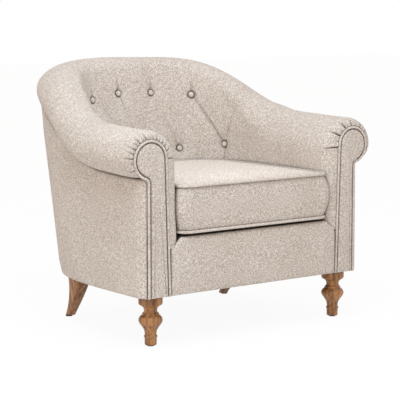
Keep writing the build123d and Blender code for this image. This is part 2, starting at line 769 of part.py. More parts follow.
def spring_x(index):
    return (index - (SPRING_COUNT - 1) / 2) * SPRING_PITCH


def spring_span(x):
    """Where a spring's first and last runs lie, over the front rail and the rear rail."""
    front = (POST_FRONT + POST_BACK) / 2
    rear = bowed_face_y(*REAR_RAIL, x) + BOARD / 2
    runs = int((rear - front) / (2 * SPRING_BEND))
    return rear - runs * 2 * SPRING_BEND, runs


def sinuous_spring(x):
    """Zigzag seat spring: straight runs across, joined by half turns."""
    first_y, runs = spring_span(x)
    edges = []
    side = 1
    for run in range(runs + 1):
        y = first_y + run * 2 * SPRING_BEND
        start = (x - side * SPRING_RUN / 2, y, WIRE_Z)
        end = (x + side * SPRING_RUN / 2, y, WIRE_Z)
        edges.append(Line(start, end))
        if run < runs:
            far = (x + side * (SPRING_RUN / 2 + SPRING_BEND), y + SPRING_BEND, WIRE_Z)
            edges.append(ThreePointArc(end, far, (end[0], y + 2 * SPRING_BEND, WIRE_Z)))
        side = -side
    path = Wire(edges)
    return sweep(Plane(path @ 0, z_dir=path % 0) * Circle(SPRING_WIRE), path)


def seat_springs():
    return Compound(children=[sinuous_spring(spring_x(index)) for index in range(SPRING_COUNT)])


def spring_clips():
    """Plates on the rails that hold the ends of the springs."""
    clips = []
    for index in range(SPRING_COUNT):
        x = spring_x(index)
        first_y, runs = spring_span(x)
        for y in (first_y, first_y + runs * 2 * SPRING_BEND):
            clips.append(box_between(x - CLIP_WIDTH / 2, x + CLIP_WIDTH / 2, y - CLIP_LENGTH / 2,
                                     y + CLIP_LENGTH / 2, RAIL_TOP, RAIL_TOP + CLIP))
    return Compound(children=clips)


def spring_insulator():
    return extrude(deck_outline(INSULATOR_Z), amount=INSULATOR, dir=(0, 0, 1))


def seat_deck_pad():
    pad = extrude(deck_outline(DECK_Z), amount=DECK_TOP - DECK_Z, dir=(0, 0, 1))
    return fillet(pad.faces().sort_by(Axis.Z)[-1].edges().sort_by(Axis.Y)[0], DECK_EDGE)


def back_webbing():
    """Straps stretched up the back, from the stay rail to the top rail."""
    straps = []
    for index in range(WEB_COUNT):
        x = (index - (WEB_COUNT - 1) / 2) * WEB_PITCH
        reach_x = abs(x) + WEB_WIDTH / 2
        ends = []
        for rail, z in ((STAY_RAIL, STAY_Z + STAY_HEIGHT), (TOP_RAIL, UPRIGHT_TOP_Z + TOP_RAIL_THICKNESS)):
            y = bowed_face_y(*rail, reach_x) - WEB_THICKNESS / 2 - SOFT_GAP
            ends.append(Pos(x, y, z) * Rectangle(WEB_WIDTH, WEB_THICKNESS))
        straps.append(loft(ends, ruled=True))
    return Compound(children=straps)


def dust_cover():
    """Thin cloth stretched under the frame, between the outside covers."""
    outline = shell_plan(BASE, OUTSIDE_COVER + 2 * SOFT_GAP, FACING_Y + ARM_ALONG[0], LEG_HEIGHT)
    return extrude(outline, amount=DUST_COVER, dir=(0, 0, 1))


# Legs and their fixings

def front_leg():
    """Turned leg: a foot, a small ring, a bulb, a ringed neck and a collar under the frame."""
    neck_ring = NECK_LEG_RADIUS + NECK_RING / 2
    edges = [Line((0, GLIDE), (FOOT_RADIUS, GLIDE)),
             Line((FOOT_RADIUS, GLIDE), (FOOT_RADIUS, FOOT_TOP)),
             ThreePointArc((FOOT_RADIUS, FOOT_TOP), (ANKLE_RADIUS + FOOT_RING, (FOOT_TOP + FOOT_RING_TOP) / 2),
                           (ANKLE_RADIUS, FOOT_RING_TOP)),
             ThreePointArc((ANKLE_RADIUS, FOOT_RING_TOP),
                           (ANKLE_RADIUS + BULB_SWELL, (FOOT_RING_TOP + BULB_Z) / 2), (BULB_RADIUS, BULB_Z)),
             ThreePointArc((BULB_RADIUS, BULB_Z), (BULB_RADIUS - NECK_RING, (BULB_Z + NECK_RING_Z) / 2 + GLIDE),
                           (neck_ring, NECK_RING_Z)),
             ThreePointArc((neck_ring, NECK_RING_Z), (NECK_LEG_RADIUS + NECK_RING, NECK_RING_Z + NECK_RING / 2),
                           (NECK_LEG_RADIUS, NECK_RING_Z + NECK_RING)),
             Line((NECK_LEG_RADIUS, NECK_RING_Z + NECK_RING), (NECK_LEG_RADIUS, COVE_Z)),
             ThreePointArc((NECK_LEG_RADIUS, COVE_Z), (NECK_LEG_RADIUS + COVE, COLLAR_Z - COVE / 2),
                           (COLLAR_RADIUS, COLLAR_Z)),
             Line((COLLAR_RADIUS, COLLAR_Z), (COLLAR_RADIUS, LEG_HEIGHT)),
             Line((COLLAR_RADIUS, LEG_HEIGHT), (0, LEG_HEIGHT)),
             Line((0, LEG_HEIGHT), (0, GLIDE))]
    leg = revolve(Plane.XZ * make_face(edges), Axis.Z)
    return Pos(FRONT_LEG_X, FACING_Y + FRONT_LEG_Y, 0) * leg - bolt_hole(FRONT_LEG_X, FRONT_LEG_Y)


def rear_leg_centre(share):
    """Plan centre of the rear leg at a share of its height, from the top down."""
    return (UPRIGHT_X - REAR_LEG_SPLAY * share, FACING_Y + UPRIGHT_Y + REAR_LEG_SWEEP * share ** REAR_LEG_CURVE)


def rear_leg():
    """Sabre leg, swept back and tapered to the floor."""
    sections = []
    for share in REAR_LEG_SHARES:
        x, y = rear_leg_centre(share)
        taper = (1.0 - share) ** REAR_LEG_TAPER
        width = REAR_FOOT + (REAR_LEG_WIDTH - REAR_FOOT) * taper
        depth = REAR_FOOT + (REAR_LEG_DEPTH - REAR_FOOT) * taper
        z = LEG_HEIGHT + (GLIDE - LEG_HEIGHT) * share
        sections.append(Pos(x, y, z) * Rectangle(width, depth))
    return loft(sections) - bolt_hole(UPRIGHT_X, UPRIGHT_Y)


LEG_PLACES = ((FRONT_LEG_X, FRONT_LEG_Y), (UPRIGHT_X, UPRIGHT_Y))


def bolt_hole(x, along):
    """Hole in a leg for its bolt."""
    hole = Cylinder(BOLT_RADIUS + BOLT_CLEARANCE, BOLT_IN_LEG, align=HANGING)
    return Pos(x, FACING_Y + along, LEG_HEIGHT) * hole


def insert_hole(x, along):
    """Stepped hole in the frame for a threaded insert and the end of its bolt."""
    wide = Cylinder(BOLT_RADIUS + INSERT_WALL + BOLT_CLEARANCE, INSERT_LENGTH, align=STANDING)
    deep = Cylinder(BOLT_RADIUS + BOLT_CLEARANCE, BOLT_IN_FRAME + BOLT_END_GAP, align=STANDING)
    return Pos(x, FACING_Y + along, FRAME_BOTTOM) * (wide + deep)


def dust_cover_hole(x, along):
    hole = Cylinder(BOLT_RADIUS + BOLT_CLEARANCE, DUST_COVER, align=STANDING)
    return Pos(x, FACING_Y + along, LEG_HEIGHT) * hole


def on_both_sides(right_pieces):
    """Right-hand pieces and their mirror images, as one group."""
    pieces = []
    for piece in right_pieces:
        pieces += [piece, mirror(piece, about=Plane.YZ)]
    return Compound(children=pieces)


def leg_bolts():
    length = BOLT_IN_LEG + DUST_COVER + BOLT_IN_FRAME
    bolt = Pos(0, 0, LEG_HEIGHT - BOLT_IN_LEG) * Cylinder(BOLT_RADIUS, length, align=STANDING)
    return on_both_sides([Pos(x, FACING_Y + along, 0) * bolt for x, along in LEG_PLACES])


def leg_inserts():
    insert = Cylinder(BOLT_RADIUS + INSERT_WALL, INSERT_LENGTH, align=STANDING)
    insert -= Cylinder(BOLT_RADIUS + BOLT_CLEARANCE, INSERT_LENGTH, align=STANDING)
    return on_both_sides([Pos(x, FACING_Y + along, FRAME_BOTTOM) * insert for x, along in LEG_PLACES])


def foot_glides():
    glide = Pos(0, 0, GLIDE / 2) * Cylinder(GLIDE_RADIUS, GLIDE)
    rear_x, rear_y = rear_leg_centre(1.0)
    return on_both_sides([Pos(FRONT_LEG_X, FACING_Y + FRONT_LEG_Y, 0) * glide, Pos(rear_x, rear_y, 0) * glide])


# Seat cushion

CUSHION_EDGE = CUSHION_WELT + CUSHION_WELT_OUT
CUSHION_SEAM = CUSHION_WELT - CUSHION_WELT_OUT + SOFT_GAP


def cushion_outline(z, inset, lift):
    """Outline of the cushion at a height: lift is 0 at the bottom welt and 1 at the top welt."""
    half_front = CUSHION_HALF_FRONT - inset
    half_back = CUSHION_HALF_BACK - inset
    front = FACING_Y - CUSHION_FRONT + CUSHION_EDGE + inset
    back = FACING_Y + CUSHION_BACK + CUSHION_RAKE * lift - inset
    rear_corner = CUSHION_REAR_CORNER * half_back / CUSHION_HALF_BACK
    return seat_plan(half_front, half_back, front, back, z, CUSHION_CORNER, rear_corner)


def cushion_face(z, inset, lift):
    return Face(Wire(cushion_outline(z, inset, lift).edges()))


def cushion_base(inset):
    rise_in = inset - CUSHION_SEAM
    return loft([cushion_face(CUSHION_BOTTOM + rise_in, CUSHION_BASE_IN + inset, 0.0),
                 cushion_face(WELT_BOTTOM_Z, inset, 0.0)], ruled=True)


def cushion_middle(inset):
    middle = (WELT_BOTTOM_Z + WELT_TOP_Z) / 2
    return loft([cushion_face(WELT_BOTTOM_Z, inset, 0.0), cushion_face(middle, inset + CUSHION_DRAW_IN, 0.5),
                 cushion_face(WELT_TOP_Z, inset, 1.0)])


def cushion_crown(inset):
    """Crown of the cushion, rising steeply at the welt and flattening towards the middle."""
    sections = []
    whole = 1.0 - (1.0 - CROWN_SHARES[-1]) ** CROWN_POWER
    for share in CROWN_SHARES:
        height = CUSHION_CROWN * (1.0 - (1.0 - share) ** CROWN_POWER) / whole
        z = WELT_TOP_Z + height - (inset - CUSHION_SEAM) * min(share / CROWN_FULL_COVER, 1.0)
        sections.append(cushion_face(z, inset + share * CUSHION_HALF_BACK, 1.0))
    return loft(sections)


def cushion_welt(z, lift):
    path = Wire(cushion_outline(z, -CUSHION_WELT_OUT, lift).edges())
    start = path @ 0
    return sweep(Plane(start, z_dir=path % 0) * Circle(CUSHION_WELT), path)


def zip_frame(depth):
    """Plane on the sloping back of the cushion at half its height, at a distance off its face."""
    middle = (WELT_BOTTOM_Z + WELT_TOP_Z) / 2
    back = FACING_Y + CUSHION_BACK + CUSHION_RAKE / 2 - CUSHION_DRAW_IN - CUSHION_SEAM
    slope = Vector(0, CUSHION_RAKE, CUSHION_BOXING).normalized()
    off = Vector(0, slope.Z, -slope.Y)
    return Plane(Vector(0, back, middle) + off * depth, x_dir=(1, 0, 0), z_dir=off)


def zip_tape():
    tape = zip_frame(ZIP_SEAT) * Box(ZIP_LENGTH, ZIP_WIDTH, ZIP_THICKNESS, align=STANDING)
    chain = zip_frame(ZIP_SEAT + ZIP_THICKNESS) * Box(ZIP_LENGTH, ZIP_CHAIN, ZIP_THICKNESS / 2, align=STANDING)
    return tape + chain


def zip_slider():
    """Slider at the closed end of the zip, astride its chain."""
    depth = ZIP_SEAT + ZIP_THICKNESS + SOFT_GAP
    place = zip_frame(depth) * Pos((SLIDER_LENGTH - ZIP_LENGTH) / 2, 0, 0)
    body = place * Box(SLIDER_LENGTH, SLIDER_WIDTH, SLIDER_THICKNESS, align=STANDING)
    body = fillet(body.edges().filter_by(GeomType.LINE).group_by(SortBy.DISTANCE)[0], SLIDER_THICKNESS / 4)
    channel = place * Box(SLIDER_LENGTH * 2, ZIP_CHAIN + 2 * SOFT_GAP, ZIP_THICKNESS / 2 + SOFT_GAP,
                          align=STANDING)
    return body - channel


def cushion_pieces():
    """The cover's panels inside the welts, the core inside the panels, and the zip behind."""
    lining = CUSHION_SEAM + CUSHION_COVER
    core = lining + SOFT_GAP
    return {
        "cushion_core": cushion_base(core) + cushion_middle(core) + cushion_crown(core),
        "cushion_top_panel": cushion_crown(CUSHION_SEAM) - cushion_crown(lining),
        "cushion_bottom_panel": cushion_base(CUSHION_SEAM) - cushion_base(lining),
        "cushion_boxing": cushion_middle(CUSHION_SEAM) - cushion_middle(lining),
        "cushion_welt_top": cushion_welt(WELT_TOP_Z, 1.0),
        "cushion_welt_bottom": cushion_welt(WELT_BOTTOM_Z, 0.0),
        "cushion_zip_tape": zip_tape(),
        "cushion_zip_slider": zip_slider(),
    }


# Assembly

def frame_pieces():
    block = corner_block() - insert_hole(FRONT_LEG_X, FRONT_LEG_Y)
    rail = front_seat_rail()
    post = arm_post()
    screws = []
    for seat in screw_places():
        hole = seat * screw(SCREW_CLEARANCE)
        block -= hole
        rail = rail - hole - mirror(hole, about=Plane.YZ)
        post -= hole
        screws.append(seat * screw())
    upright = back_upright() - insert_hole(UPRIGHT_X, UPRIGHT_Y)
    pieces = {
        "front_seat_rail": rail,
        "rear_seat_rail": bowed_board(*REAR_RAIL, FRAME_BOTTOM, RAIL_HEIGHT),
        "back_top_rail": bowed_board(*TOP_RAIL, UPRIGHT_TOP_Z, TOP_RAIL_THICKNESS),
        "back_stay_rail": bowed_board(*STAY_RAIL, STAY_Z, STAY_HEIGHT),
        "corner_blocks": on_both_sides([block, rear_corner_block()]),
        "corner_block_screws": on_both_sides(screws),
    }
    pieces |= pair("arm_post", post)
    pieces |= pair("back_upright", upright)
    pieces |= pair("side_seat_rail", side_seat_rail())
    pieces |= pair("arm_top_rail", arm_top_rail())
    pieces |= pair("arm_stay_rail", arm_stay_rail())
    return pieces


def suspension_pieces():
    cloth = dust_cover()
    for x, along in LEG_PLACES:
        cloth = cloth - dust_cover_hole(x, along) - dust_cover_hole(-x, along)
    return {
        "seat_springs": seat_springs(),
        "spring_clips": spring_clips(),
        "spring_insulator": spring_insulator(),
        "seat_deck_pad": seat_deck_pad(),
        "back_webbing": back_webbing(),
        "dust_cover": cloth,
    }


def upholstery_pieces():
    pieces = {
        "inside_back_cover": inside_back_cover(),
        "inside_back_foam": inside_back_foam(),
        "tufting_buttons": tufting_buttons(),
        "outside_back_cover": outside_back_cover(),
        "front_border": front_border(),
    }
    pieces |= pair("inside_arm_cover", inside_arm_cover())
    pieces |= pair("inside_arm_foam", inside_arm_foam())
    pieces |= pair("outside_arm_cover", outside_arm_cover())
    pieces |= pair("arm_facing", arm_facing())
    pieces |= pair("facing_welt", facing_welt())
    return pieces


def leg_pieces():
    pieces = {"leg_bolts": leg_bolts(), "leg_inserts": leg_inserts(), "foot_glides": foot_glides()}
    pieces |= pair("front_leg", front_leg())
    pieces |= pair("rear_leg", rear_leg())
    return pieces


def main():
    os.makedirs("parts", exist_ok=True)
    pieces = frame_pieces() | suspension_pieces() | upholstery_pieces() | leg_pieces() | cushion_pieces()
    for name, piece in pieces.items():
        export_step(piece, f"parts/{name}.step")
    print(len(pieces), "pieces")


main()
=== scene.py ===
# %% [markdown]
# # A buttoned armchair with rolled arms
#
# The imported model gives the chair's real pieces in metres: a wooden frame, springs, padding and legs.
# This lesson dresses that frame. Each soft piece is made again as padded fabric, in the same place, and
# each wooden or metal piece gets a finish. Nothing of the frame is moved, so every new piece is made
# where the frame says that it belongs.

# %% Load the frame
import json
import math
from functools import partial

import bmesh
import bpy
import numpy as np
from mathutils import Matrix, Vector


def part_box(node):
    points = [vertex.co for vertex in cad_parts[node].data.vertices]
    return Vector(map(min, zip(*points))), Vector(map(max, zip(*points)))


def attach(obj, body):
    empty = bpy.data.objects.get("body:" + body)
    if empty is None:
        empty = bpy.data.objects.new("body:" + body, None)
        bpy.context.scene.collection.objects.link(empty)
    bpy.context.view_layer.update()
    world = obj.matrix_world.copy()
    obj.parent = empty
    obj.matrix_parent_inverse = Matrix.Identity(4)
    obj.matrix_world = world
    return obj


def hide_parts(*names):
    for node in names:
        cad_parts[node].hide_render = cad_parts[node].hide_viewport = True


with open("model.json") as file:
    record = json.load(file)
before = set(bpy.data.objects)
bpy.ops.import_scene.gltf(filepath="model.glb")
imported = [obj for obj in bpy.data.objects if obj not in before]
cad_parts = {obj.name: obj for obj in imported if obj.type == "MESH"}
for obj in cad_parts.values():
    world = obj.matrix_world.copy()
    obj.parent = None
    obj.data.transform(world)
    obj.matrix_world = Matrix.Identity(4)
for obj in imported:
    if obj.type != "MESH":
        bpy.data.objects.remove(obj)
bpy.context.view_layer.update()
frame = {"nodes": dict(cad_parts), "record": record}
bpy.ops.object.select_all(action="DESELECT")

# %% [markdown]
# ## Camera
#
# The photograph was taken a little above arm height, from the chair's front left corner. A long lens
# keeps the uprights nearly parallel. The place and the lens were worked out from the photograph's own
# edges, so they are given as numbers here.

# %% Camera
bpy.ops.object.camera_add(location=(-2.75655, -3.74212, 0.95251),
                          rotation=(math.radians(82.524), 0.0, math.radians(-37.141)))
camera = bpy.context.object
camera.name = "photo_camera"
camera.data.sensor_width = 36.0
camera.data.lens = 140.55
bpy.context.scene.camera = camera
print("camera lens", round(camera.data.lens, 2), "mm")

# %% [markdown]
# ## Stage and light
#
# The chair stands on a white studio floor. One large soft lamp hangs above and in front, a second fills
# the left side, and the world gives an even light. The floor shows the camera nearly pure white, and
# still takes a faint shadow under the legs.

# %% Node helpers
def feed(tree, node, inputs):
    """Gives each input of a node, by name or number, a socket or a value."""
    for name, value in inputs.items():
        if isinstance(value, bpy.types.NodeSocket):
            tree.links.new(value, node.inputs[name])
        else:
            node.inputs[name].default_value = value


def new_node(tree, kind, inputs, **settings):
    node = tree.nodes.new("ShaderNode" + kind)
    for name, value in settings.items():
        setattr(node, name, value)
    feed(tree, node, inputs)
    return node


def math_node(tree, operation, *values):
    return new_node(tree, "Math", dict(enumerate(values)), operation=operation).outputs[0]


def new_finish(name):
    """A new material, with its node tree and its shader."""
    material = bpy.data.materials.new(name)
    material.use_nodes = True
    return material, material.node_tree, material.node_tree.nodes["Principled BSDF"]


def camera_white(tree, lit, white_kind, output, share):
    """Mixes plain white into what the camera and mirrors see of a lit shader."""
    ray = new_node(tree, "LightPath", {}).outputs
    seen = math_node(tree, "MAXIMUM", ray["Is Camera Ray"], ray["Is Glossy Ray"])
    seen = math_node(tree, "MAXIMUM", seen, ray["Is Transmission Ray"])
    white = new_node(tree, white_kind, {"Color": (1.0, 1.0, 1.0, 1.0)})
    white_share = math_node(tree, "MULTIPLY", seen, share)
    mix = new_node(tree, "MixShader", {0: white_share, 1: lit.outputs[0], 2: white.outputs[0]})
    feed(tree, tree.nodes[output], {"Surface": mix.outputs[0]})


# %% Stage and light
FLOOR_WHITE = 0.94
LAMP_AIM = Vector((0.0, -0.1, 0.4))

bpy.ops.mesh.primitive_plane_add(size=30.0, location=(0.0, 0.0, 0.0))
floor = bpy.context.object
floor.name = "studio_floor"
floor_finish, floor_tree, floor_shader = new_finish("studio_floor")
feed(floor_tree, floor_shader, {"Base Color": (0.93, 0.93, 0.93, 1.0), "Roughness": 0.9})
camera_white(floor_tree, floor_shader, "Emission", "Material Output", FLOOR_WHITE)
floor.data.materials.append(floor_finish)

world = bpy.data.worlds.new("studio_world")
bpy.context.scene.world = world
world.use_nodes = True
world_light = world.node_tree.nodes["Background"]
feed(world.node_tree, world_light, {"Color": (1.0, 0.945, 0.893, 1.0), "Strength": 0.80})
camera_white(world.node_tree, world_light, "Background", "World Output", 1.0)


def soft_lamp(name, place, size, power, colour):
    """A square area lamp that faces the chair."""
    turn = (LAMP_AIM - Vector(place)).to_track_quat("-Z", "Y").to_euler()
    bpy.ops.object.light_add(type="AREA", location=place, rotation=turn)
    lamp = bpy.context.object
    lamp.name = name
    lamp.data.size = size
    lamp.data.energy = power
    lamp.data.color = colour


soft_lamp("lamp_above", (-0.7, -0.9, 2.0), 1.2, 26.5, (0.72, 0.855, 1.0))
soft_lamp("lamp_left", (-3.2, -1.5, 1.6), 1.8, 9.5, (1.0, 0.78, 0.58))
bpy.context.scene.view_settings.view_transform = "Standard"

# %% [markdown]
# ## The upholstery fabric
#
# The cover is an oatmeal cloth in a plain weave of thick, uneven yarns. A picture could be stretched
# over it, but then the yarns would be a fixed size in pixels. Here the weave is worked out from the
# piece's own UV map, which is kept in metres: one yarn passes over the next, and each yarn has a tone of
# its own with paler and darker slubs along it. The same height drives a small bump and paints shade into
# the low places between yarns. Crevices are darkened with painted shade, and the cushion's cloth gets
# painted light: it is paler above a height.

# %% Fabric helpers
def noise_node(tree, vector, scale, detail, roughness):
    inputs = {"Vector": vector, "Scale": scale, "Detail": detail, "Roughness": roughness}
    return new_node(tree, "TexNoise", inputs).outputs[0]


def tone_ramp(tree, value, stops):
    """Colour ramp from (place, colour) stops: its first, its last and any between."""
    ramp = new_node(tree, "ValToRGB", {0: value})
    elements = ramp.color_ramp.elements
    for index, (place, colour) in enumerate(stops):
        element = elements[index] if index < 2 else elements.new(place)
        element.position = place
        element.color = (*colour, 1.0)
    return ramp.outputs[0]


def bump_node(tree, height, strength, distance):
    return new_node(tree, "Bump", {"Height": height, "Strength": strength, "Distance": distance}).outputs[0]


def painted_crease_shade(tree, colour, least, distance, gain=1.0):
    """Painted shade: darkens a colour in crevices, found by ambient occlusion, down to its least share, and
    scales it by a gain.
    """
    hollow = new_node(tree, "AmbientOcclusion", {"Distance": distance}, samples=8)
    open_share = math_node(tree, "MULTIPLY", hollow.outputs["AO"], 1.0 - least)
    scale = math_node(tree, "MULTIPLY", math_node(tree, "ADD", open_share, least), gain)
    return new_node(tree, "VectorMath", {0: colour, "Scale": scale}, operation="SCALE").outputs[0]


def painted_top_light(tree, place, low, high, most):
    """Painted light: a gain that climbs from 1 at a low height to its most at a high one, so that the upper
    faces look more lit.
    """
    height = new_node(tree, "SeparateXYZ", {0: place}).outputs[2]
    inputs = {"Value": height, "From Min": low, "From Max": high, "To Min": 1.0, "To Max": most}
    return new_node(tree, "MapRange", inputs).outputs["Result"]


# %% Woven cloth
def woven_cloth(name, dark, middle, pale, yarn, bump=0.5, lit_top=None):
    """Plain-weave cloth on a UV map in metres. The last argument, if given, is (low, high, gain): painted
    light that makes the cloth paler above a height.
    """
    material, tree, shader = new_finish(name)
    op = partial(math_node, tree)
    uv = new_node(tree, "UVMap", {}, uv_map="weave")
    split = new_node(tree, "SeparateXYZ", {0: uv.outputs[0]})
    runs = [op("MULTIPLY", split.outputs[axis], 1.0 / yarn) for axis in (0, 1)]
    indices = [op("FLOOR", run) for run in runs]
    rounds = [op("SINE", op("MULTIPLY", op("FRACT", run), math.pi)) for run in runs]
    over = op("FLOORED_MODULO", op("ADD", *indices), 2.0)

    def yarn_height(own, other):
        return op("MULTIPLY", rounds[own], op("ADD", rounds[other], 0.4))

    def yarn_tone(own, other):
        """Tone of one yarn, with slubs along its run."""
        joined = new_node(tree, "CombineXYZ", {0: indices[own], 1: op("MULTIPLY", runs[other], 0.16)})
        return noise_node(tree, joined.outputs[0], 0.9, 3.0, 0.65)

    def upper_yarn(measure):
        """A measure of warp or weft, whichever lies on top."""
        return new_node(tree, "Mix", {0: over, 2: measure(0, 1), 3: measure(1, 0)}).outputs[0]

    height = upper_yarn(yarn_height)
    shade = upper_yarn(yarn_tone)
    place = new_node(tree, "TexCoord", {}).outputs["Object"]
    patch = noise_node(tree, place, 270.0, 3.0, 0.7)
    cloud = noise_node(tree, place, 9.0, 2.0, 0.5)
    # Random patches and clouds vary the tone, and the yarn height paints shade into the low places between
    # yarns.
    for source, level, share in ((patch, 0.5, 2.0), (cloud, 0.5, 0.16), (height, 0.8, 0.16)):
        shade = op("ADD", shade, op("MULTIPLY", op("SUBTRACT", source, level), share))
    colour = tone_ramp(tree, shade, ((0.25, dark), (0.75, pale), (0.5, middle)))
    # Painted light: above a height the cloth is made paler, as if more lit there.
    gain = painted_top_light(tree, place, *lit_top) if lit_top else 1.0
    fuzz = op("ADD", height, op("MULTIPLY", patch, 0.8))
    # Painted shade darkens the cloth's colour in its crevices.
    feed(tree, shader, {"Base Color": painted_crease_shade(tree, colour, 0.22, 0.011, gain), "Roughness": 0.92,
                        "Specular IOR Level": 0.18, "Sheen Weight": 0.12, "Sheen Roughness": 0.5,
                        "Normal": bump_node(tree, fuzz, bump, 0.0007)})
    return material


OATMEAL = ((0.40, 0.33, 0.28), (0.61, 0.525, 0.455), (0.80, 0.73, 0.66))
PIPING = ((0.47, 0.39, 0.33), (0.68, 0.59, 0.51), (0.84, 0.77, 0.69))
# Nearly black platform cloth: partly its own dark colour, partly painted shade for the gap under the
# cushion.
PLATFORM_AND_SHADE = ((0.036, 0.031, 0.027), (0.060, 0.052, 0.046), (0.085, 0.075, 0.067))
BLACK = ((0.008, 0.008, 0.009), (0.016, 0.016, 0.017), (0.03, 0.03, 0.031))
oatmeal_cloth = woven_cloth("oatmeal_cloth", *OATMEAL, 0.0021)
# Painted light: the cushion's top, above its upper welt, is made 1.25 times as bright as its sides.
cushion_cloth = woven_cloth("cushion_cloth", *OATMEAL, 0.0021, lit_top=(0.4375, 0.4445, 1.25))
piping_cloth = woven_cloth("piping_cloth", *PIPING, 0.0016)
deck_cloth = woven_cloth("deck_cloth", *PLATFORM_AND_SHADE, 0.0012, 0.3)
dust_cloth = woven_cloth("dust_cloth", *BLACK, 0.0009, 0.3)
print("cloths:", ", ".join(m.name for m in bpy.data.materials if m.name.endswith("_cloth")))

# %% [markdown]
# ## The shell's shape
#
# Seen from above, the arms and the back are one horseshoe. Five such curves run round it: the foot of
# the inside face, the crest, the widest girth of the roll, the tuck under the roll and the base of the
# outside. Each is a quarter of a superellipse, which is straight along the arm and round at the rear
# corner, given as half width, length and power. A section through the padding climbs the inside face,
# goes over the crest and round the roll to the tuck. The same sections made the solids of the frame, so
# the fabric lies where they are.

# %% Plan curves
FACING = -0.3665
FAN = 0.270
CREST = (0.364, 0.675, 3.3)
GIRTH = (0.443, 0.745, 3.4)
TUCK = (0.391, 0.710, 4.2)
BASE = (0.393, 0.590, 4.2)
INSIDE = (0.267, 0.500, 5.0)


def plan_points(way, out):
    """Plan places at a distance out. way is metres along the arm below 0, and an angle above 0."""
    turn = np.maximum(way, 0.0)
    y = FACING + FAN + np.minimum(way, 0.0)
    return out * np.cos(turn), y + out * np.sin(turn)


def reach(curve, way):
    """Distance from the start of sections to a plan curve."""
    half, length, power = curve
    near = np.zeros_like(way)
    far = near + 1.7
    for _ in range(46):
        middle = (near + far) / 2
        x, y = plan_points(way, middle)
        level = (np.abs(x) / half) ** power + (np.maximum(y - FACING, 0.0) / length) ** power
        near = np.where(level < 1.0, middle, near)
        far = np.where(level < 1.0, far, middle)
    return near


# %% Shell sections
ARM_TOP = 0.595
BACK_TOP = 0.761
SWEEP_CENTRE = 0.530
SWEEP_WIDTH = 0.168
INSIDE_FOOT = 0.270
LEG_TOP = 0.140
LIP_START = 0.0015
LIP_DEPTH = 0.034
LIP_INSIDE = 0.0330
LIP_SHOULDER = 0.0577
LIP_OUTSIDE = 0.0216
CORNER_TUCK = 0.022
CORNER_RISE = 0.136
CORNER_FLAT = 0.114
ARM_TUCK = 0.126
BACK_TUCK = 0.104
SHOULDER = (0.097, 0.050)
ROLL_DROP = (0.072, 0.032)
LIP_TUCK_IN = 0.008
LIP_TUCK_UP = 0.003


def between(first, last, share):
    return first + (last - first) * share


def quarter_round(share):
    """Falls from 1 at share 0 to 0 at share 1, like a quarter of a circle."""
    return 1.0 - np.sqrt(1.0 - (1.0 - np.clip(share, 0.0, 1.0)) ** 2)


def travel(points):
    """Metres along the first axis of an array of points."""
    steps = np.linalg.norm(np.diff(points, axis=0), axis=-1)
    return np.concatenate((np.zeros_like(steps[:1]), np.cumsum(steps, axis=0)))


# Share of the crest's length at even angles, from the facing to the middle of the back.
CREST_ANGLE = np.linspace(0.0, np.pi / 2, 400)
CREST_SHARE = travel(np.stack((CREST[0] * np.cos(CREST_ANGLE).clip(0.0) ** (2 / CREST[2]),
                               CREST[1] * np.sin(CREST_ANGLE) ** (2 / CREST[2])), axis=1))
CREST_SHARE = CREST_SHARE / CREST_SHARE[-1]


def climb(way):
    """Share of the climb from arm height to back height."""
    x, y = plan_points(way, reach(CREST, way))
    across = (np.abs(x) / CREST[0]) ** (CREST[2] / 2)
    along = (np.maximum(y - FACING, 0.0) / CREST[1]) ** (CREST[2] / 2)
    share = np.interp(np.arctan2(along, across), CREST_ANGLE, CREST_SHARE)
    low, high, here = (np.tanh((s - SWEEP_CENTRE) / SWEEP_WIDTH) for s in (0.0, 1.0, share))
    return (here - low) / (high - low)


def lip_rounding(way):
    """1 at the facing's welt, falling to 0 where the arm has swelled to its full size."""
    return quarter_round((way + FAN - LIP_START) / LIP_DEPTH)


def tuck_level(rise, lip):
    """Height of the tuck under the roll, which is drawn up at the rear corners."""
    level = between(ARM_TOP - ARM_TUCK, BACK_TOP - BACK_TUCK, rise)
    return level + CORNER_RISE * rise * (1.0 - rise) + lip * LIP_TUCK_UP


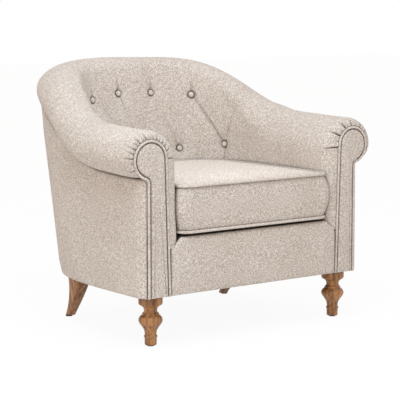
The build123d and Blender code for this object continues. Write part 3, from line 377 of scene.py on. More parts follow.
def shell_points(way, run, depth=0.0):
    """Points of the padded shell.

    run is 0 at the foot, 1 at the head of the inside, 2 at the crest, 3 at the girth and 4 at the tuck.
    """
    rise = climb(way)
    lip = lip_rounding(way)
    bottom = reach(INSIDE, way) + lip ** 1.7 * LIP_INSIDE
    crest_u = reach(CREST, way)
    crest_z = between(ARM_TOP, BACK_TOP, rise) - lip * LIP_OUTSIDE
    across = crest_u - bottom
    shoulder = np.where(lip > 0.0, between(across, LIP_SHOULDER, lip), between(*SHOULDER, rise))
    upward = crest_z - shoulder - INSIDE_FOOT
    lean = np.arctan2(across, upward) - np.arcsin(np.minimum(shoulder / np.hypot(across, upward), 1.0))
    girth_out = reach(GIRTH, way) - lip * LIP_OUTSIDE - crest_u - CORNER_FLAT * rise * (1.0 - rise)
    girth_drop = between(*ROLL_DROP, rise) - lip * LIP_OUTSIDE
    roll = (girth_out ** 2 + girth_drop ** 2) / (2 * girth_drop)
    girth_angle = np.pi / 2 - 2 * np.arctan2(girth_drop, girth_out)
    girth_u = crest_u + girth_out
    girth_z = crest_z - girth_drop
    tuck_u = reach(TUCK, way) - lip * LIP_TUCK_IN + CORNER_TUCK * rise * (1.0 - rise)
    tuck_z = tuck_level(rise, lip)
    chord = np.arctan2(tuck_z - girth_z, tuck_u - girth_u)
    half_turn = np.mod(girth_angle - np.pi / 2 - chord, 2 * np.pi)
    under = np.hypot(girth_u - tuck_u, girth_z - tuck_z) / (2 * np.sin(half_turn))

    def arc(u, z, radius, first, last, share):
        angle = between(first, last, np.clip(share, 0.0, 1.0))
        return u + (radius - depth) * np.cos(angle), z + (radius - depth) * np.sin(angle)

    shoulder_arc = partial(arc, crest_u, crest_z - shoulder, shoulder, np.pi - lean, np.pi / 2)
    head_u, head_z = shoulder_arc(np.zeros_like(run))
    rising = np.clip(run, 0.0, 1.0)
    inside = between(bottom + depth / np.cos(lean), head_u, rising), between(INSIDE_FOOT, head_z, rising)
    over = shoulder_arc(run - 1.0)
    down = arc(crest_u, crest_z - roll, roll, np.pi / 2, girth_angle, run - 2.0)
    back_under = arc(girth_u - under * np.cos(girth_angle), girth_z - under * np.sin(girth_angle), under,
                     girth_angle, girth_angle - 2 * half_turn, run - 3.0)
    pick = [run < 1.0, run < 2.0, run < 3.0]
    u, z = (np.select(pick, [inside[i], over[i], down[i]], back_under[i]) for i in (0, 1))
    return np.stack((*plan_points(way, u), z), axis=-1)


print("arm front crest", np.round(shell_points(np.array(-0.2), np.array(2.0)), 4))

# %% [markdown]
# A padded piece is made as two grids: its face and its back, a little way inside. A rim joins them all
# round, so the piece is closed. Its UV map holds the metres along the face, which the weave reads.

# %% Padded grid helpers
def grid_normals(points, probe, toward):
    """Unit normals of a grid of points, on the side where the one at the probe goes along a direction."""
    normal = np.cross(np.gradient(points, axis=0), np.gradient(points, axis=1))
    normal = normal / np.maximum(np.linalg.norm(normal, axis=-1, keepdims=True), 1e-9)
    return normal * np.sign(normal[probe] @ np.asarray(toward))


def grid_uv(points):
    """Metres along the rows and along the columns, for the weave."""
    u = travel(points)
    return np.stack((u - u.mean(axis=0, keepdims=True), travel(points.swapaxes(0, 1)).T), axis=-1)


def linked(name, mesh):
    piece = bpy.data.objects.new(name, mesh)
    bpy.context.scene.collection.objects.link(piece)
    return piece


def finish_piece(piece, material, *replaced, slot="upholstery_fabric", body="chair_body"):
    """Gives a piece its material and its body, and hides the solids that it stands for. The slot argument is
    not used.
    """
    piece.data.materials.clear()
    piece.data.materials.append(material)
    for polygon in piece.data.polygons:
        polygon.use_smooth = True
    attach(piece, body)
    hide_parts(*replaced)
    return piece


def mesh_piece(name, points, faces, uv):
    """Object from points, faces and a UV pair for each corner of each face, with faces turned outwards."""
    mesh = bpy.data.meshes.new(name)
    mesh.from_pydata([tuple(p) for p in points], [], faces)
    layer = mesh.uv_layers.new(name="weave")
    layer.data.foreach_set("uv", np.asarray(uv, np.float32).ravel())
    work = bmesh.new()
    work.from_mesh(mesh)
    bmesh.ops.recalc_face_normals(work, faces=work.faces)
    work.to_mesh(mesh)
    work.free()
    return linked(name, mesh)


def padded_grid(name, face, back, uv, replaced, side=1.0):
    """Closed padded piece between grids of face and back points. Side -1 mirrors it to the left."""
    rows, columns = face.shape[:2]
    count = rows * columns
    index = np.arange(count).reshape(rows, columns)
    corners = (index[:-1, :-1], index[1:, :-1], index[1:, 1:], index[:-1, 1:])
    quads = np.stack(corners, axis=-1).reshape(-1, 4)
    edge = np.concatenate((index[0, :-1], index[:-1, -1], index[-1, :0:-1], index[:0:-1, 0]))
    ahead = np.roll(edge, -1)
    rim = np.stack((edge, ahead, ahead + count, edge + count), axis=-1)
    faces = np.concatenate((quads, quads[:, ::-1] + count, rim))
    points = np.concatenate((face.reshape(-1, 3), back.reshape(-1, 3))) * (side, 1.0, 1.0)
    piece = mesh_piece(name, points, faces.tolist(), np.tile(uv.reshape(-1, 2), (2, 1))[faces])
    border = set(edge.tolist())
    for line in piece.data.edges:
        line.use_edge_sharp = border.issuperset(line.vertices)
    finish_piece(piece, oatmeal_cloth, replaced)
    return piece


# %% [markdown]
# ## The buttoned inside back
#
# Two rows of covered buttons hold the padding down, and folds run between them in diamonds. Above each
# upper button a short crease fades into the roll. The face of the padding is pressed in round each
# button and along each fold, and swells a little between them. The seam to each arm starts at the outer
# lower button and leans outwards to the crest.

# %% Buttons, folds and seams
SEAM_RUN = (0.59, 0.74, 0.88, 1.0, 1.32, 1.66, 2.0)
SEAM_ANGLE = np.radians((38.4, 36.2, 33.8, 31.3, 28.2, 25.8, 24.4))
SEAM_RADIUS = 0.36
BACK_RADIUS = 0.318
LEAN = math.radians(16.0)
PLEATS = ((0.9, 1.0), (0.2, 0.9), (0.7, 0.1), (0.4, 0.1))
FOLD_REACH = 0.15
FOLD_SIDES = (0.0030, 0.0095)
CREASE_RISE = 0.062
PIT_DEPTH = 0.0075
PIT_WIDTH = 0.030
BUTTON_WIDTH = 0.0114
TUFT_SWELL = 0.0045
TUFT_WIDTH = 0.030
SEAM_DEPTH = 0.0040
SEAM_WIDTH = 0.0036
TUCK_TURN = 0.0075
TUCK_START = 3.86
TUCK_SPAN = 0.14


def button_row(*places):
    """Angle and height of buttons, from degrees off the middle of the back and heights."""
    return [(math.radians(90.0 + degrees), z) for degrees, z in places]


UPPER_BUTTONS = button_row((-33.3, 0.643), (-12.0, 0.652), (8.4, 0.654), (26.0, 0.638))
LOWER_BUTTONS = button_row((-51.2, 0.490), (-26.6, 0.478), (0.0, 0.476), (26.6, 0.478), (51.2, 0.490))


def seam_angle(run):
    """Angle of the seam between arm and back at a place on the section."""
    return np.interp(run, SEAM_RUN, SEAM_ANGLE)


def smooth_step(value, low, high):
    share = np.clip((value - low) / (high - low), 0.0, 1.0)
    return share * share * (3.0 - 2.0 * share)


def seam_press(gap, run):
    """Groove along that seam, which fades into the roll."""
    return SEAM_DEPTH * np.exp(-(gap / SEAM_WIDTH) ** 1.2) * (1.0 - smooth_step(run, 0.8, 1.5))


def tuck_press(run):
    """The roll's lower edge turns in towards the tuck."""
    return TUCK_TURN * np.clip((run - TUCK_START) / TUCK_SPAN, 0.0, 1.0) ** 2


def back_flat(angle, z):
    """The inside back laid flat: metres across and metres up."""
    return BACK_RADIUS * (math.pi / 2 - angle), (z - 0.5) / math.cos(LEAN)


def fold_line(across, up, first, last):
    """Share along a fold from first to last, the signed distance from it, and its length."""
    run = np.array(last) - np.array(first)
    length = math.hypot(*run)
    run = run / length
    along = (across - first[0]) * run[0] + (up - first[1]) * run[1]
    aside = (up - first[1]) * run[0] - (across - first[0]) * run[1]
    return along / length, aside, length


def button_pit(across, up, place):
    """How far one button presses the face in, and the distance from it."""
    away = np.hypot(across - place[0], up - place[1])
    dimple = PIT_DEPTH * np.exp(-(away / PIT_WIDTH) ** 1.3)
    return dimple + PIT_DEPTH * np.exp(-(away / BUTTON_WIDTH) ** 4), away


def tuft_folds(uppers, lowers):
    """Folds as (first, last, depth, depth share at the first, at the last, width)."""
    folds = []
    for upper, (start, end) in zip(uppers, PLEATS):
        folds.append((upper, (upper[0], upper[1] + CREASE_RISE), 0.0100, 1.0, 0.0, 0.55))
        for lower in lowers:
            if abs(upper[0] - lower[0]) >= FOLD_REACH:
                continue
            if lower[0] > upper[0]:
                folds.append((upper, lower, 0.0075, start, end, 1.0))
            else:
                folds.append((upper, lower, 0.0045, 0.05, 0.5, 0.8))
    return folds


def tuft_depth(across, up):
    """How far the flat inside back is pressed in at places, and how far it swells between them."""
    uppers = [back_flat(*button) for button in UPPER_BUTTONS]
    lowers = [back_flat(*button) for button in LOWER_BUTTONS]
    press = np.zeros_like(across)
    nearest = np.full_like(across, 1.0)
    for place in uppers + lowers:
        pit, away = button_pit(across, up, place)
        press = press + pit
        nearest = np.minimum(nearest, away)
    for first, last, deep, start, end, width in tuft_folds(uppers, lowers):
        share, aside, length = fold_line(across, up, first, last)
        inside = np.clip(share, 0.0, 1.0)
        off = np.abs(share - inside) * length
        lap = np.where(aside * np.sign(last[0] - first[0] + 1e-6) > 0.0, *FOLD_SIDES) * width
        fade = deep * between(start, end, inside) * np.exp(-(off / 0.006) ** 2)
        press = press + fade * np.exp(-np.abs(aside) / lap)
        nearest = np.minimum(nearest, np.hypot(aside, off) + 0.004)
    return press, TUFT_SWELL * (1.0 - np.exp(-(nearest / TUFT_WIDTH) ** 2))


# %% Inside back
BACK_COVER = 0.022
COLUMN_START = math.radians(45.0)
COLUMNS = 214


def spaced(*spans):
    """Values through (start, end, count) spans. Each leaves out its end, but the last keeps it."""
    return np.concatenate([np.linspace(*span, endpoint=span is spans[-1]) for span in spans])


BACK_RUN = spaced((0.0, 0.4, 14), (0.4, 1.0, 104), (1.0, 2.0, 30), (2.0, 3.0, 16), (3.0, 4.0, 14))


def column_angles():
    """Angles of the middle columns, closer together at the upper buttons, where the short creases are."""
    fine = np.linspace(COLUMN_START, np.pi - COLUMN_START, 4000)
    density = np.ones_like(fine)
    for angle, _ in UPPER_BUTTONS:
        density = density + 1.6 * np.exp(-((fine - angle) * BACK_RADIUS / 0.008) ** 2)
    total = np.concatenate(([0.0], np.cumsum(density[1:])))
    return np.interp(np.linspace(0.0, total[-1], COLUMNS), total, fine)


def back_grid(depth=0.0):
    """Points of the back's shell, from seam to seam, with the way and the run of each."""
    middle = column_angles()[:, None] + np.zeros((1, len(BACK_RUN)))
    seam = seam_angle(BACK_RUN)[None, :]
    right = between(seam, COLUMN_START, np.linspace(0.0, 1.0, 20, endpoint=False)[:, None])
    way = np.concatenate((right, middle, np.pi - right[::-1]))
    run = BACK_RUN[None, :] + np.zeros_like(way)
    return shell_points(way, run, depth), way, run


back_face, back_way, back_run = back_grid()
seams = seam_angle(back_run)
seam_gap = np.minimum(np.abs(back_way - seams), np.abs(np.pi - seams - back_way))
press, swell = tuft_depth(*back_flat(back_way, back_face[..., 2]))
press = (press - swell * smooth_step(seam_gap, 0.0, 0.14)) * (1.0 - smooth_step(back_run, 1.15, 1.75))
press = press + seam_press(seam_gap * SEAM_RADIUS, back_run) + tuck_press(back_run)
ripple = 0.0012 * np.sin(back_way * 9.0 + 1.3)
press = press + ripple * smooth_step(back_run, 1.4, 2.0) * smooth_step(seam_gap, 0.0, 0.2)
pressed = grid_normals(back_face, (120, 40), (0.0, -1.0, 0.0)) * press[..., None]
inside_back = padded_grid("inside_back_buttoned", back_face - pressed, back_grid(BACK_COVER)[0] - pressed,
                          grid_uv(back_face), "inside_back_cover")
print("inside back:", len(inside_back.data.polygons), "faces")

# %% [markdown]
# ## Covered buttons
#
# Each button is a small domed disc under the same cloth. Half of its outline is drawn and spun round
# once, and the finished button is copied to the bottom of every tuft.

# %% Buttons
BUTTON_PROFILE = [(0.0, 0.0), (0.0063, 0.0), (0.0081, 0.0006), (0.0090, 0.0021), (0.0092, 0.0037),
                  (0.0087, 0.0054), (0.0074, 0.0069), (0.0054, 0.0079), (0.0029, 0.0085), (0.0, 0.0087)]
BUTTON_SUNK = 0.0130


def spin_profile(name, profile, steps):
    """Turns a line of (radius, height) points round the Z axis, as on a lathe, and closes it."""
    mesh = bpy.data.meshes.new(name)
    lines = [(i, i + 1) for i in range(len(profile) - 1)]
    mesh.from_pydata([(radius, 0.0, height) for radius, height in profile], lines, [])
    piece = linked(name, mesh)
    bpy.ops.object.select_all(action="DESELECT")
    piece.select_set(True)
    bpy.context.view_layer.objects.active = piece
    bpy.ops.object.mode_set(mode="EDIT")
    bpy.ops.mesh.select_all(action="SELECT")
    bpy.ops.mesh.spin(steps=steps, angle=2 * math.pi, center=(0.0, 0.0, 0.0), axis=(0.0, 0.0, 1.0))
    bpy.ops.mesh.select_all(action="SELECT")
    bpy.ops.mesh.remove_doubles(threshold=0.00002)
    bpy.ops.mesh.normals_make_consistent(inside=False)
    bpy.ops.object.mode_set(mode="OBJECT")
    return piece


def planar_uv(piece):
    """UV map in metres, seen from above."""
    layer = piece.data.uv_layers.get("weave") or piece.data.uv_layers.new(name="weave")
    for loop in piece.data.loops:
        layer.data[loop.index].uv = piece.data.vertices[loop.vertex_index].co.xy


def back_place(angle, z):
    """Place on the inside back at a height, and its outward direction."""
    def point(a, height):
        foot, head = (shell_points(np.array(a), np.array(run)) for run in (0.0, 0.999))
        return Vector(between(foot, head, (height - foot[2]) / (head[2] - foot[2])))
    here = point(angle, z)
    out = (point(angle + 0.02, z) - here).cross(point(angle, z + 0.01) - here).normalized()
    return here, -out if out.y > 0.0 else out


button = spin_profile("covered_buttons", BUTTON_PROFILE, 36)
planar_uv(button)
copies = []
for angle, z in UPPER_BUTTONS + LOWER_BUTTONS:
    here, out = back_place(angle, z)
    copy = linked("button", button.data.copy())
    turn = out.to_track_quat("Z", "Y").to_matrix().to_4x4()
    turn.translation = here - out * BUTTON_SUNK
    copy.data.transform(turn)
    copies.append(copy)
bpy.ops.object.select_all(action="DESELECT")
bpy.data.objects.remove(button)
for copy in copies:
    copy.select_set(True)
bpy.context.view_layer.objects.active = copies[0]
bpy.ops.object.join()
buttons = bpy.context.object
buttons.name = "covered_buttons"
finish_piece(buttons, piping_cloth, "tufting_buttons")
print("buttons:", len(copies), "in", len(buttons.data.polygons), "faces")

# %% [markdown]
# ## The rolled arms
#
# The cloth of each arm runs from the seat over the roll to the tuck, and at the front it is gathered
# round the scroll. Each gather is a crease that starts at the welt and dies out a few centimetres back.
# No two are alike, and the two arms differ, as they do when they are stapled by hand. Each is given by
# its place round the scroll in degrees, its length and its depth in millimetres.

# %% Inside arms
SIDES = (("right", 1.0), ("left", -1.0))
ARM_COVER = 0.010
SCROLL = (0.364, 0.516)
GATHER_GAIN = 1.5 / 1000.0
GATHERS = {
    "left": [(-42, 18, 1.2), (-26, 27, 2.0), (-8, 16, 1.3), (6, 26, 2.3), (19, 20, 1.8), (31, 28, 2.3),
             (43, 19, 1.7), (54, 30, 2.6), (66, 17, 1.5), (76, 26, 2.3), (89, 18, 1.6), (99, 24, 2.0),
             (110, 30, 2.4), (121, 18, 1.6), (132, 26, 2.2), (144, 20, 1.7), (157, 24, 2.0), (179, 32, 2.6)],
    "right": [(-35, 20, 1.4), (-12, 24, 1.8), (14, 18, 1.4), (38, 26, 2.2), (60, 24, 2.8), (80, 17, 1.3),
              (95, 24, 4.0), (108, 15, 1.2), (120, 28, 4.8), (136, 15, 1.3), (150, 28, 5.0), (167, 14, 1.2),
              (184, 30, 4.6)],
}


def eased(start, depth, count):
    """Values over a depth from a start, closest together there. The end is left out."""
    return start + depth * (1.0 - np.cos(np.linspace(0.0, np.pi / 2, count, endpoint=False)))


ARM_RUN = spaced((0.0, 0.8, 38), (0.8, 1.0, 40), (1.0, 2.0, 120), (2.0, 3.0, 110), (3.0, 4.0, 70))
ARM_START = -FAN + LIP_START
ARM_WAY = np.concatenate((eased(ARM_START, LIP_DEPTH, 22),
                          np.linspace(ARM_START + LIP_DEPTH, 0.0, 34, endpoint=False)))


def gather_depth(points, way, gathers):
    """How far the face is drawn in by the gathers, on the right-hand arm."""
    x, z = points[..., 0] - SCROLL[0], points[..., 2] - SCROLL[1]
    angle = np.arctan2(z, x)
    angle = np.where(angle < math.radians(-100.0), angle + 2 * np.pi, angle)
    press = np.zeros_like(way)
    for degrees, length, deep in gathers:
        share = np.clip((way - ARM_START) / (length / 1000.0), 0.0, 1.0)
        aside = (angle - math.radians(degrees) - share ** 2 * 0.05) * np.hypot(z, x)
        width = 0.0016 + 0.0010 * share
        crease = np.exp(-(aside / width) ** 2) - 0.32 * np.exp(-((np.abs(aside) - 0.0055) / 0.0030) ** 2)
        press = press + GATHER_GAIN * deep * (1.0 - share) ** 1.3 * crease
    return press


def arm_grid(depth=0.0):
    """Points of the right arm's shell, from the facing round to the seam with the back."""
    turn = np.linspace(0.0, 1.0, 22)[:, None] * seam_angle(ARM_RUN)[None, :]
    way = np.concatenate((ARM_WAY[:, None] + np.zeros((1, len(ARM_RUN))), turn))
    run = ARM_RUN[None, :] + np.zeros_like(way)
    if depth > 0.0:
        depth = between(depth, 0.0015, lip_rounding(way))
    return shell_points(way, run, depth), way, run


for word, side in SIDES:
    face, way, run = arm_grid()
    seam_gap = np.abs(way - seam_angle(run)) * SEAM_RADIUS
    press = gather_depth(face, way, GATHERS[word]) + tuck_press(run) + seam_press(seam_gap, run)
    pit = button_pit(*back_flat(way, face[..., 2]), back_flat(*LOWER_BUTTONS[0]))[0]
    press = press + pit * (way > 0.3) * (run < 1.3)
    ripple = 0.0014 * np.sin(way * 21.0 + run * 2.1)
    press = press - ripple * smooth_step(way, -0.2, -0.05) * smooth_step(seam_gap, 0.0, 0.07)
    pressed = grid_normals(face, (30, 20), (-1.0, 0.0, 0.0)) * press[..., None]
    arm = padded_grid("rolled_arm_" + word, face - pressed, arm_grid(ARM_COVER)[0] - pressed, grid_uv(face),
                      "inside_arm_cover_" + word, side)
print("arms:", len(arm.data.polygons), "faces each")

# %% [markdown]
# ## The outside panels
#
# Plain cloth covers the outside from the tuck down to the base, where it turns under. At the front it
# turns in to meet the facing's welt, and behind each arm a seam joins it to the back panel.

# %% Outside panels
REAR_SEAM = math.radians(48.0)
OTHER_SEAM = math.pi - REAR_SEAM
PANEL_THICK = 0.005
PANEL_GAP = 0.0038
PANEL_START = -FAN + 0.0050
TURN_IN = 0.0165
TURN_DEPTH = 0.032
HEM = 0.007
CROWN = 0.0085
PANEL_SWELL = 0.0022
REAR_SWELL = 0.004
PANEL_RADIUS = 0.45
PANEL_SEAM_DEPTH = 0.0035
PANEL_SEAM_WIDTH = 0.0045
SEAM_BAND = 0.03
HEIGHTS = spaced((0.0, 0.022, 8), (0.022, 0.978, 40), (0.978, 1.0, 8))


def panel_grid(way, depth=0.0):
    """Points of the outside panel, whose heights run from 0 at the hem to 1 at the tuck."""
    way = way[:, None] + np.zeros((1, len(HEIGHTS)))
    share = HEIGHTS[None, :] + np.zeros_like(way)
    rise = climb(way)
    foot = reach(BASE, way)
    head = reach(TUCK, way) + CORNER_TUCK * rise * (1.0 - rise)
    top = tuck_level(rise, lip_rounding(way)) - PANEL_GAP
    z = between(LEG_TOP, top, share)
    u = between(foot, head, share) - depth - TURN_IN * quarter_round((way - PANEL_START) / TURN_DEPTH)
    u = u - HEM * quarter_round((z - LEG_TOP) / HEM) - CROWN * quarter_round((top - z) / CROWN)
    if depth == 0.0:
        u = u + PANEL_SWELL * np.sin(np.pi * share) * smooth_step(way, -FAN + 0.03, -FAN + 0.12)
        rear = REAR_SWELL * smooth_step(way, 0.0, 0.5)
        u = u + rear * smooth_step(share, 0.0, 0.1) * (1.0 - smooth_step(share, 0.8, 1.0))
    return np.stack((*plan_points(way, u), z), axis=-1)


def outside_panel(name, replaced, way, seams, side):
    face = panel_grid(way)
    probe = (len(way) // 2, 26)
    out = grid_normals(face, probe, face[probe])
    sewn = face
    for seam in seams:
        away = abs(way - seam) * PANEL_RADIUS
        groove = PANEL_SEAM_DEPTH * np.exp(-(away / PANEL_SEAM_WIDTH) ** 1.2)
        sewn = sewn - out * groove[:, None, None]
    return padded_grid(name, sewn, panel_grid(way, PANEL_THICK), grid_uv(face), replaced, side)


SIDE_WAY = np.concatenate((eased(PANEL_START, TURN_DEPTH, 12),
                           spaced((PANEL_START + TURN_DEPTH, 0.0, 26), (0.0, REAR_SEAM - SEAM_BAND, 26),
                                  (REAR_SEAM - SEAM_BAND, REAR_SEAM, 8))))
REAR_WAY = spaced((REAR_SEAM, REAR_SEAM + SEAM_BAND, 8),
                  (REAR_SEAM + SEAM_BAND, OTHER_SEAM - SEAM_BAND, 60),
                  (OTHER_SEAM - SEAM_BAND, OTHER_SEAM, 8))
for word, side in SIDES:
    panel = outside_panel("outside_arm_" + word, "outside_arm_cover_" + word, SIDE_WAY, (REAR_SEAM,), side)
rear_panel = outside_panel("outside_back", "outside_back_cover", REAR_WAY, (REAR_SEAM, OTHER_SEAM), 1.0)
print("outside panels:", len(panel.data.polygons), "and", len(rear_panel.data.polygons), "faces")

# %% [markdown]
# ## Arm facings and their welts
#
# The front of each arm is a board with a round head, padded thinly and covered. A welt, which is a cord
# inside a strip of the same cloth, runs up its outside, round the scroll and down its inside.

# %% Ring and welt helpers
def ring_piece(name, rings):
    """Closed piece through rings of equal count: flat caps close its first and last ring."""
    points = np.concatenate(rings)
    index = np.arange(len(points)).reshape(len(rings), -1)
    ahead = np.roll(index, -1, axis=1)
    quads = np.stack((index[:-1], ahead[:-1], ahead[1:], index[1:]), axis=-1).reshape(-1, 4)
    faces = [*quads.tolist(), index[0].tolist(), index[-1].tolist()]
    return mesh_piece(name, points, faces, points[np.concatenate(faces)][:, [0, 2]])


def welt_piece(name, path, radius, closed, replaced, body="chair_body"):
    """A covered cord along a path, with a UV map in metres along it and round it."""
    around = 10
    run = np.gradient(path, axis=0)
    if closed:
        run = np.roll(path, -1, axis=0) - np.roll(path, 1, axis=0)
    run = run / np.linalg.norm(run, axis=1, keepdims=True)
    side = np.cross(run, (0.0, 1.0, 0.0) if np.ptp(path[:, 1]) < 0.02 else (0.0, 0.0, 1.0))
    side = side / np.linalg.norm(side, axis=1, keepdims=True)
    turn = np.linspace(0.0, 2 * np.pi, around, endpoint=False)[None, :, None]
    rings = np.cos(turn) * side[:, None, :] + np.sin(turn) * np.cross(run, side)[:, None, :]
    points = (path[:, None, :] + radius * rings).reshape(-1, 3)
    index = np.arange(len(points)).reshape(-1, around)
    if closed:
        index = np.concatenate((index, index[:1]))
        path = np.concatenate((path, path[:1]))
    beside = np.roll(index, -1, axis=1)
    faces = np.stack((index[:-1], index[1:], beside[1:], beside[:-1]), axis=-1).reshape(-1, 4).tolist()
    length, girth = travel(path), radius * np.linspace(0.0, 2 * np.pi, around + 1)
    uv = []
    for start, end in zip(length[:-1], length[1:]):
        for low, high in zip(girth[:-1], girth[1:]):
            uv += [(start, low), (end, low), (end, high), (start, high)]
    if not closed:
        faces += [index[0].tolist(), index[-1].tolist()]
        uv += [(0.0, 0.0)] * (2 * around)
    piece = mesh_piece(name, points, faces, uv)
    return finish_piece(piece, piping_cloth, replaced, body=body)


# %% Facings
SCROLL_RADIUS = 0.047
STUMP_IN = 0.306
STUMP_OUT = 0.365
NECK = 0.018
BOARD_INSET = 0.0016
WELT_OUT = 0.0046
WELT_BEHIND = 0.0018
WELT_RADIUS = 0.0041
FACING_STEPS = [(0.0, 0.0078), (0.0, 0.0016), (0.0004, 0.0), (0.0014, -0.0014), (0.0032, -0.0024),
                (0.0060, -0.0031), (0.0090, -0.0034)]


def circle_points(x, z, radius, angles):
    return np.stack((x + radius * np.cos(angles), z + radius * np.sin(angles)), axis=1)


def scroll_outline(grow):
    """Front outline of the right facing, from the outside foot over the scroll to the inside foot."""
    radius = SCROLL_RADIUS + grow
    neck = NECK - grow
    outside = STUMP_OUT + grow
    inside = STUMP_IN - grow
    neck_x = outside + neck
    neck_z = SCROLL[1] - math.sqrt((radius + neck) ** 2 - (neck_x - SCROLL[0]) ** 2)
    start = math.atan2(neck_z - SCROLL[1], neck_x - SCROLL[0])
    across, height = SCROLL[0] - inside, SCROLL[1] - LEG_TOP
    lean = math.atan2(across, height) - math.asin(radius / math.hypot(across, height))
    head = circle_points(*SCROLL, radius, np.linspace(start, math.pi - lean, 72))
    return np.concatenate((
        np.linspace((outside, LEG_TOP), (outside, neck_z), 40),
        circle_points(neck_x, neck_z, neck, np.linspace(math.pi, start + math.pi, 12)[1:-1]),
        head,
        np.linspace(head[-1], (inside, LEG_TOP), 44)[1:]))


def inward(outline, distance):
    """An outline in x and z moved inwards by a distance."""
    ahead = np.roll(outline, -1, axis=0) - outline
    ahead = ahead / np.linalg.norm(ahead, axis=1, keepdims=True)
    run = ahead + np.roll(ahead, 1, axis=0)
    mitre = 2.0 / np.linalg.norm(run, axis=1, keepdims=True)
    run = run * mitre / 2.0
    return outline + distance * mitre * np.stack((-run[:, 1], run[:, 0]), axis=1)


def at_depth(outline, y, side):
    return np.stack((outline[:, 0] * side, np.full(len(outline), y), outline[:, 1]), axis=1)


board = scroll_outline(-BOARD_INSET)
board = np.concatenate((board, np.linspace(board[-1], board[0], 8)[1:-1]))
for word, side in SIDES:
    rings = [at_depth(inward(board, inset), FACING + y, side) for inset, y in FACING_STEPS]
    facing = ring_piece("scroll_facing_" + word, rings)
    finish_piece(facing, oatmeal_cloth, "arm_facing_" + word)
    welt_path = at_depth(scroll_outline(WELT_OUT), FACING + WELT_BEHIND, side)
    welt = welt_piece("scroll_welt_" + word, welt_path, WELT_RADIUS, False, "facing_welt_" + word)
print("facings:", len(facing.data.polygons), "faces, welts:", len(welt.data.polygons), "faces")

# %% [markdown]
# ## The front border
#
# A plain padded strip closes the front below the cushion. It is cut back at its upper corners, where the
# cloth of the inside arms comes down.

# %% Front border
BORDER_HALF = 0.2972
BORDER_TOP = 0.2990
BORDER_SHOULDER = 0.268
BORDER_CUT = 0.036
BORDER_EDGE = 0.012
BORDER_SET = 0.0045
BORDER_PAD = 0.0075
BORDER_SWELL = 0.0018
BORDER_BACK = 0.0077

across = spaced((-1.0, -0.95, 10), (-0.95, 0.95, 60), (0.95, 1.0, 10))[:, None]
z = between(LEG_TOP, BORDER_TOP, spaced((0.0, 0.09, 10), (0.09, 0.91, 20), (0.91, 1.0, 10)))[None, :]
z = z + np.zeros_like(across)
half = BORDER_HALF - BORDER_CUT * np.clip((z - BORDER_SHOULDER) / (BORDER_TOP - BORDER_SHOULDER), 0.0, 1.0)
x = across * half
edge = np.minimum(np.minimum(z - LEG_TOP, BORDER_TOP - z), half - np.abs(x))
soft = 1.0 - quarter_round(edge / BORDER_EDGE)
swell = np.sin(np.pi * np.clip((z - LEG_TOP) / (BORDER_TOP - LEG_TOP), 0.0, 1.0))
border_face = np.stack((x, FACING + BORDER_SET - BORDER_PAD * soft - BORDER_SWELL * swell, z), axis=-1)
border_back = np.stack((x, np.full_like(x, FACING + BORDER_BACK), z), axis=-1)
border = padded_grid("front_border_pad", border_face, border_back, border_face[..., [0, 2]],
                     "front_border")
print("front border:", len(border.data.polygons), "faces")

# %% [markdown]
# ## The seat deck and the dust cover
#
# Under the cushion lies a plain padded deck, which only shows when the cushion is lifted out. Its cloth
# is nearly black: a dark platform cloth, made darker still as painted shade for the gap under the
# cushion. Below the frame a thin black cloth is stretched from rail to rail. Both are rings that shrink
# towards the middle of the seat.

# %% Seat deck and dust cover
SEAT_CENTRE = np.array((0.0, -0.1))
DECK_BOTTOM = 0.2625
DECK_EDGE = 0.285
DECK_CROWN = 0.0192
DECK_SHARES = (0.004, 0.012, 0.026, 0.05, 0.1, 0.2, 0.35, 0.55, 0.8, 0.97)
DUST_SHARES = (0.97, 0.8, 0.6, 0.4, 0.25, 0.12, 0.0)
DUST_THICK = 0.0009


def even_ring(ring, count):
    """Even points round a closed plan path."""
    ring = np.concatenate((ring, ring[:1]))
    length = travel(ring)
    even = np.linspace(0.0, length[-1], count, endpoint=False)
    return np.stack([np.interp(even, length, ring[:, axis]) for axis in (0, 1)], axis=1)


def plan_ring(curve, inset, front, count):
    """Ring inside a plan curve: round the sides and the back, with a straight front."""
    way = spaced((front - FACING - FAN, 0.0, 40), (0.0, np.pi / 2, 120))
    right = np.stack(plan_points(way, reach(curve, way) - inset), axis=1)
    return even_ring(np.concatenate((right, right[-2::-1] * (-1.0, 1.0))), count)


def shrunk(ring, share, z):
    """A plan ring drawn towards the middle of the seat, at a height."""
    return np.column_stack((SEAT_CENTRE + (ring - SEAT_CENTRE) * (1.0 - share), np.full(len(ring), z)))


deck_ring = plan_ring(INSIDE, 0.0016, FACING + 0.0083, 220)
deck_rings = [shrunk(deck_ring, 0.97, DECK_BOTTOM), shrunk(deck_ring, 0.0, DECK_BOTTOM),
              shrunk(deck_ring, 0.0, DECK_EDGE)]
for share in DECK_SHARES:
    deck_rings.append(shrunk(deck_ring, share, DECK_EDGE + DECK_CROWN * (1.0 - quarter_round(share / 0.1))))
deck = ring_piece("seat_deck", deck_rings)
planar_uv(deck)
finish_piece(deck, deck_cloth, "seat_deck_pad", slot="platform_cloth")

dust_ring = plan_ring(BASE, 0.0062, FACING + 0.028, 200)
dust_low = [shrunk(dust_ring, s, LEG_TOP + 0.0002 - 0.004 * smooth_step(s, 0.25, 0.9)) for s in DUST_SHARES]
dust_high = [ring + (0.0, 0.0, DUST_THICK) for ring in dust_low[::-1]]
dust = ring_piece("dust_cover_cloth", dust_low + dust_high)
planar_uv(dust)
finish_piece(dust, dust_cloth, "dust_cover", slot="dust_cloth")

# %% [markdown]
# ## The seat cushion
#
# The loose cushion is a box: a top, a bottom and a boxing strip between two welts. Its plan follows the
# seat, with a round back. It is made as rings from the middle of the bottom to the middle of the top. A
# cloth simulation then blows it up a little. The bottom, the sewn edges and the boxing behind the zip
# are pinned, so that the top crowns and the boxing fills out.

